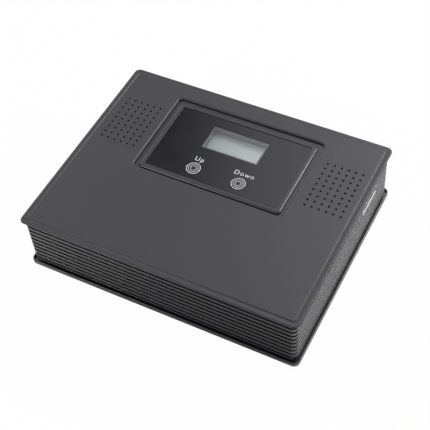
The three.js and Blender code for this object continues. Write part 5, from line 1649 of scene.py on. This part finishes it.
def make_coils():
    """Three toroid coils: a painted powder-iron ring with one layer of bare copper wire."""
    def squared(value):
        return math.copysign(abs(value) ** 0.5, value)

    for name, radius in WIRES.items():
        low, high = span(name)
        x, y, middle = middle_of(name, "xyz")
        outer = (high.x - low.x) / 2
        inner = outer * COIL_BORE_SHARE
        half_width = (outer - inner) / 2 - radius
        half_height = (high.z - low.z) / 2 - radius
        ring_radius = (outer + inner) / 2
        turns = int(2 * math.pi * inner * 0.9 / (radius * 3.1))
        points = []
        for i in range(turns * COIL_STEPS + 1):
            angle = math.radians(COIL_START + COIL_SWEEP * i / (turns * COIL_STEPS))
            around = 2 * math.pi * i / COIL_STEPS
            reach = ring_radius + squared(math.cos(around)) * half_width
            rise = squared(math.sin(around)) * half_height
            points.append((x + reach * math.cos(angle), y + reach * math.sin(angle), middle + rise))
        first, last = points[0][:2], points[-1][:2]
        ends = (board_low - 1, low.z + 0.5)
        points = [(*first, z) for z in ends] + points + [(*last, z) for z in ends[::-1]]
        piece(f"{name}_winding", wire(points, radius), "copper_wire", name)
        wall = half_width - radius - 0.05
        rise = half_height - radius - 0.05
        soft = min(1.2, wall * 0.5)
        bevel = [(0, soft), (soft * 0.3, soft * 0.3), (soft, 0)]
        core = []
        for sx, sz, steps in ((-1, -1, bevel), (1, -1, bevel[::-1]), (1, 1, bevel), (-1, 1, bevel[::-1])):
            core += [(ring_radius + sx * (wall - across), middle + sz * (rise - up)) for across, up in steps]
        piece(f"{name}_core", moved(turned([*core, core[0]], 64), x, y), "core_red")


def make_shield():
    """The folded can over the sensor, with a grid of holes and short tabs into the board."""
    low, high = span("sensor_shield")
    x, y = middle_of("sensor_shield")
    width = high.x - low.x
    depth = high.y - low.y
    wall = SHIELD_SHEET
    can = slab(width, depth, 0.9, x, y, low.z, high.z - 0.6, above=fillet_in(0.6))
    hollow = slab(width - 2 * wall, depth - 2 * wall, 0.3, x, y, low.z - PAST, high.z - wall)
    holes = [
        rod(SHIELD_HOLE, x + across, y + along, high.z - 2, high.z + PAST, 16)
        for across in spread(*SHIELD_HOLES_X) for along in spread(*SHIELD_HOLES_Y)
    ]
    tabs = [
        block(at_x - 1, at_x + 1, at_y - 0.3, at_y + 0.3, board_low - 0.8, low.z + 1, 0.1, 1)
        for at_x, at_y in about(x, y, width / 2 - SHIELD_TAB_INSET, depth / 2 - wall / 2)
    ]
    can = carved(carved(can, hollow), *holes)
    piece("sensor_can", together(can, *tabs), "bright_nickel", "sensor_shield")


def make_chip():
    """The controller: a flat package with a dimple at its first leg and bent legs on all four sides."""
    low, high = span("controller_chip")
    x, y = middle_of("controller_chip")
    reach = (high.x - low.x) / 2
    half = reach - 2
    body = slab(
        2 * half + 1.2, 2 * half + 1.2, 0.5, x, y, low.z + 0.75, low.z + 0.85,
        above=[(0.15, 0.7)], below=[(0.15, 0.55)], arc=2,
    )
    dimple = turned([(0, -0.15), (0.6, -0.15), (0.75, 0.3), (0, 0.3)], 16)
    body = carved(body, moved(dimple, x - half + 1.2, y - half + 1.2, high.z))
    piece("controller_package", body, "chip_black", "controller_chip")
    route = [(half - 0.2, 0.8), (half + 0.9, 0.8), (half + 1.2, 0.12), (reach, 0.12)]
    legs = [
        moved(rotated(moved(strip(band(route, 0.2), 0.4), 0, at), side, 'Z'), x, y, low.z)
        for side in range(4) for at in spread(CHIP_LEGS, CHIP_LEG_PITCH)
    ]
    piece("controller_legs", together(*legs), "zinc_steel")


def make_supply():
    """The regulator with its drilled tab and three legs, and the can of the supply capacitor."""
    low, high = span("voltage_regulator")
    x = middle_of("voltage_regulator")[0]
    case_low = low.z + REGULATOR_LIFT
    case_high = case_low + REGULATOR_HEIGHT
    case = block(low.x, high.x, low.y, high.y - 1.35, case_low, case_high, 0.35, 2)
    dent = facing_back(turned([(0, 0), (1.2, 0), (1.0, 0.4), (0, 0.4)], 20))
    case = carved(case, moved(dent, x, low.y - 0.1, case_high - 1.8))
    piece("regulator_case", case, "chip_black", "voltage_regulator")
    tab = block(low.x, high.x, high.y - 1.3, high.y, case_low, high.z, 0.25, 2)
    parts = [carved(tab, moved(facing_back(rod(1.8, 0, 0, 0, 4, 32)), x, high.y - 3, high.z - 3))]
    leg_y = low.y + 2.25
    for place in (-1, 0, 1):
        at = x + place * LEG_PITCH
        shoulder = (0.6, case_low - 2, case_low + 1, 0.1)
        for half, z0, z1, edge in (shoulder, (0.35, PIN_END + 0.2, case_low - 1.5, 0.08)):
            parts.append(block(at - half, at + half, leg_y - 0.25, leg_y + 0.25, z0, z1, edge, 1))
    piece("regulator_tab", together(*parts), "zinc_steel")
    low, high = span("supply_capacitor")
    x, y = middle_of("supply_capacitor")
    radius = (high.y - low.y) / 2 - 0.15
    sleeve = turned([
        (0, low.z), (radius - 0.5, low.z), (radius, low.z + 0.5), (radius, low.z + 1.6),
        (radius - 0.45, low.z + 2.1), (radius - 0.45, low.z + 2.5), (radius, low.z + 3),
        (radius, high.z - 0.7), (radius - 0.25, high.z - 0.2), (radius - 0.8, high.z),
        (radius - 1.1, high.z - 0.15), (radius - 1.1, high.z - 0.5), (0, high.z - 0.5),
    ], 48)
    piece("supply_sleeve", moved(sleeve, x, y), "sleeve_blue", "supply_capacitor")
    arm = radius - 2
    cross = [block(-arm, arm, -0.15, 0.15, -0.3, 0.2), block(-0.15, 0.15, -arm, arm, -0.3, 0.2)]
    top = carved(rod(radius - 1.05, 0, 0, -0.6, -0.1, 48), united(*cross))
    leads = [pin(x + side * LEG_PITCH, y, PIN_END, low.z + 0.3) for side in (-1, 1)]
    piece("supply_top", together(moved(top, x, y, high.z), *leads), "zinc_steel")


def make_boards():
    """The two flat boards with their small parts, and the upright board of the slot."""
    drilled_board("control_board", "main_board", corner_places("board_screw"), BOARD_SCREW_SHANK + HOLE_GAP)
    drilled_board("key_board", "display_board", post_places(), STAKE_SHANK + HOLE_GAP)
    low = span("control_port_board")[0]
    places = slot_board_places()
    holes = [moved(facing_right(rod(1.6, 0, 0, 0, 4, 20)), low.x - PAST, *place) for place in places]
    plate = carved(filled("control_port_board", 0.15, 1), *holes)
    piece("slot_board", plate, "board_green", "control_port_board")
    x, y = (at + by for at, by in zip(middle_of("controller_chip"), RESISTORS_FROM_CHIP))
    seat = span("main_board")[1].z + 0.03
    bodies = []
    ends = []
    for i in range(RESISTORS):
        at_x = x + (i % RESISTOR_COLUMNS) * RESISTOR_PITCH[0]
        at_y = y + (i // RESISTOR_COLUMNS) * RESISTOR_PITCH[1]
        bodies.append(block(at_x - 1, at_x + 1, at_y - 0.65, at_y + 0.65, seat, seat + 0.55, 0.08, 1))
        for end in (at_x - 1.05, at_x + 1.05):
            ends.append(block(end - 0.3, end + 0.3, at_y - 0.67, at_y + 0.67, seat, seat + 0.57, 0.08, 1))
    piece("board_resistors", together(*bodies), "chip_black")
    piece("resistor_ends", together(*ends), "zinc_steel")


def make_display_inner():
    """The light guide, and the two switches with their plungers."""
    piece("light_guide", filled("display_light_guide", 0.4, 3), "milky_plastic", "display_light_guide")
    for name in KEYS:
        low, high = span(f"key_switch_{name}")
        x, y = key_place(name)
        stem_low, stem_high = span(f"switch_plunger_{name}")
        radius = (stem_high.x - stem_low.x) / 2
        housing = block(low.x, high.x, low.y, high.y, low.z, high.z - 0.35, 0.3, 2)
        housing = carved(housing, rod(radius + SEAT, x, y, stem_low.z - PAST, high.z + PAST))
        piece(f"switch_case_{name}", housing, "inner_black", f"key_switch_{name}")
        cover = slab(high.x - low.x - 0.4, high.y - low.y - 0.4, 0.6, x, y, high.z - 0.4, high.z - 0.1)
        cover = carved(cover, rod(radius + SEAT, x, y, stem_low.z, high.z + PAST))
        rivets = []
        feet = []
        reach = (high.x - low.x) / 2
        for sx, sy in QUARTERS:
            rivet = turned([(0, -0.3), (0.8, -0.3), (0.8, -0.05), (0.5, 0), (0, 0)], 16)
            rivets.append(moved(rivet, x + sx * (reach - 1.5), y + sy * (reach - 1.5), high.z))
            side, end = x + sx * (reach + 0.25), y + sy * 3
            feet.append(block(side - 0.3, side + 0.3, end - 0.5, end + 0.5, low.z, low.z + 1.2, 0.1, 1))
        piece(f"switch_cover_{name}", together(cover, *feet), "zinc_steel")
        piece(f"switch_rivets_{name}", together(*rivets), "inner_black")
        low, high = stem_low.z, stem_high.z
        stem = turned([
            (0, low), (radius - 0.3, low), (radius, low + 0.3), (radius, high - 0.9),
            (radius - 0.5, high - 0.8), (radius - 0.6, high - 0.15), (radius - 0.75, high), (0, high),
        ], 40)
        piece(
            f"switch_stem_{name}", moved(stem, x, y), "milky_plastic", f"switch_plunger_{name}",
            body=f"key_{name}", slot="inner_plastic",
        )


def make_cables():
    """The flat cables with their plugs, and the two wires from the power inlet."""
    low, high = span("display_ribbon")
    x = middle_of("display_ribbon")[0]
    upper = low.y + PLUG_HALF
    lower = high.y - PLUG_HALF
    route = sway((upper, high.z - 2.5), (lower, low.z + 2.5), 16)
    cable = rotated(flat_cable(route, RIBBON_WIDTH), 1, 'Z')
    piece("key_board_cable", moved(cable, x), "ribbon_grey", "display_ribbon")
    plugs = []
    for y, z0, z1 in ((upper, high.z - PLUG_HEIGHT, high.z), (lower, low.z, low.z + PLUG_HEIGHT)):
        front, back = y - PLUG_HALF, y + PLUG_HALF
        plugs.append(block(low.x, high.x, front, back, z0, z1, 0.3, 2))
        for at in (x - PLUG_TAB_REACH, x + PLUG_TAB_REACH):
            plugs.append(block(at - 0.6, at + 0.6, front - 0.35, front + 0.2, z0 + 0.8, z1 - 0.8, 0.15, 1))
    piece("key_board_plugs", together(*plugs), "inner_black")

    low, high = span("control_port_ribbon")
    edge, top, bend = low.x + 0.4, high.z - 0.4, CABLE_BEND
    route = [
        (high.x, top), (edge + bend, top), (edge + 0.3 + bend * 0.3, top - bend * 0.3), (edge, top - bend),
        (edge, low.z),
    ]
    cable = moved(flat_cable(route, high.y - low.y), 0, (low.y + high.y) / 2)
    piece("slot_cable", cable, "ribbon_grey", "control_port_ribbon")

    low, high = span("power_lead")
    x = middle_of("power_lead")[0]
    top, turn_y, bend = high.z - INLET_WIRE, low.y + INLET_WIRE, INLET_WIRE_BEND
    for side, name, finish, replaced in (
        (-INLET_WIRE_OUT, "live", "wire_red", "power_lead"), (INLET_WIRE_OUT, "return", "wire_black", None),
    ):
        points = [(x + side, high.y, top)]
        for i in range(7):
            angle = math.pi / 2 * i / 6
            y = turn_y + bend - bend * math.sin(angle)
            points.append((x + side, y, top - bend + bend * math.cos(angle)))
        points.append((x + side, turn_y, board_low - 0.8))
        piece(f"power_wire_{name}", wire(points, INLET_WIRE, 2), finish, replaced)


def camera_and_light():
    camera = linked("photo_camera", bpy.data.cameras.new("photo_camera"))
    camera.data.lens = CAMERA_LENS
    camera.data.sensor_width = SENSOR_WIDTH
    camera.data.shift_x, camera.data.shift_y = CAMERA_SHIFT
    camera.location = CAMERA_PLACE
    towards = Vector(CAMERA_AIM) - Vector(CAMERA_PLACE)
    level = towards.to_track_quat('-Z', 'Y').to_matrix()
    roll = Matrix.Rotation(math.radians(CAMERA_ROLL), 3, 'Z')
    camera.rotation_euler = (level @ roll).to_euler()
    bpy.context.scene.camera = camera
    for name, (place, size, power) in LAMPS.items():
        data = bpy.data.lights.new(name, 'AREA')
        data.shape = 'DISK'
        data.size = size
        data.energy = power
        lamp = linked(name, data)
        lamp.location = place
        lamp.rotation_euler = (Vector(LAMP_AIM) - Vector(place)).to_track_quat('-Z', 'Y').to_euler()


def seen_share(tree, mirrored_where):
    """The rays that go to the eye: straight, through glass, or by a mirror where the factor says."""
    path = node(tree, 'ShaderNodeLightPath').outputs
    mirrored = calculate(tree, 'MULTIPLY', path["Is Glossy Ray"], mirrored_where)
    through = calculate(tree, 'MAXIMUM', path["Is Transmission Ray"], mirrored)
    return calculate(tree, 'MAXIMUM', path["Is Camera Ray"], through)


def make_room():
    """A soft room with bright walls, which is white to the eye."""
    world = bpy.data.worlds.new("soft_room")
    bpy.context.scene.world = world
    world.use_nodes = True
    tree = world.node_tree
    tree.nodes.clear()
    direction = node(tree, 'ShaderNodeTexCoord').outputs["Generated"]
    height = node(tree, 'ShaderNodeSeparateXYZ', {0: direction}).outputs[2]
    lit = stretch(tree, height, 0.1, 0.9, ROOM_LOW, ROOM_HIGH)
    for aim, edge, core, strength in BRIGHT_WALLS:
        towards = node(tree, 'ShaderNodeVectorMath', {0: direction, 1: aim}, operation='DOT_PRODUCT')
        wall = node(tree, 'ShaderNodeMapRange', {
            "Value": towards.outputs["Value"], "From Min": edge, "From Max": core, "To Max": strength,
        }, interpolation_type='SMOOTHSTEP')
        lit = calculate(tree, 'MAXIMUM', lit, wall.outputs[0])
    seen = seen_share(tree, stretch(tree, height, *BACKDROP_TOP, 1.0, 0.0))
    room = node(tree, 'ShaderNodeBackground', {"Color": WHITE, "Strength": lit})
    white = node(tree, 'ShaderNodeBackground', {"Color": WHITE, "Strength": 1.0})
    mixed = node(tree, 'ShaderNodeMixShader', {0: seen, 1: room.outputs[0], 2: white.outputs[0]})
    node(tree, 'ShaderNodeOutputWorld', {0: mixed.outputs[0]})


def make_floor():
    """A pale floor that keeps the shadow."""
    floor = as_object("floor", rounded_face(FLOOR_SIZE, FLOOR_SIZE, 0, 0, 0, 0))
    material, tree, shader, place = new_material("pale_floor")
    mottle = noise(tree, place, 4.0, 3.0)
    tone = blend_colours(tree, mottle, *FLOOR_TONES)
    feed(tree, shader, {"Base Color": tone, "Roughness": 0.9})
    lift = node(tree, 'ShaderNodeEmission', {"Color": WHITE, "Strength": 1.0})
    from_middle = node(tree, 'ShaderNodeVectorMath', {0: place, 1: DARK_FLOOR_MIDDLE}, operation='DISTANCE')
    far = stretch(tree, from_middle.outputs["Value"], *NEAR_FLOOR)
    to_right = node(tree, 'ShaderNodeSeparateXYZ', {0: place}).outputs[0]
    bright = calculate(tree, 'MAXIMUM', far, stretch(tree, to_right, *LIT_FLOOR_RIGHT))
    share = calculate(tree, 'MULTIPLY', seen_share(tree, bright), FLOOR_WHITENING)
    end_with(tree, share, shader.outputs[0], lift.outputs[0])
    floor.data.materials.append(material)


dress_frame_nodes()
make_lid()
make_body()
make_base()
make_display_frame()
make_panel()
make_window()
make_display_cell()
make_keys()
make_words()
make_feet()
make_screws()
make_rear_panel()
make_sockets()
make_ground_terminal()
make_power_jack()
make_control_port()
make_boards()
make_relays()
make_tuning_capacitors()
make_coils()
make_shield()
make_chip()
make_supply()
make_display_inner()
make_cables()
make_room()
make_floor()
camera_and_light()
bpy.context.scene.view_settings.view_transform = 'Standard'
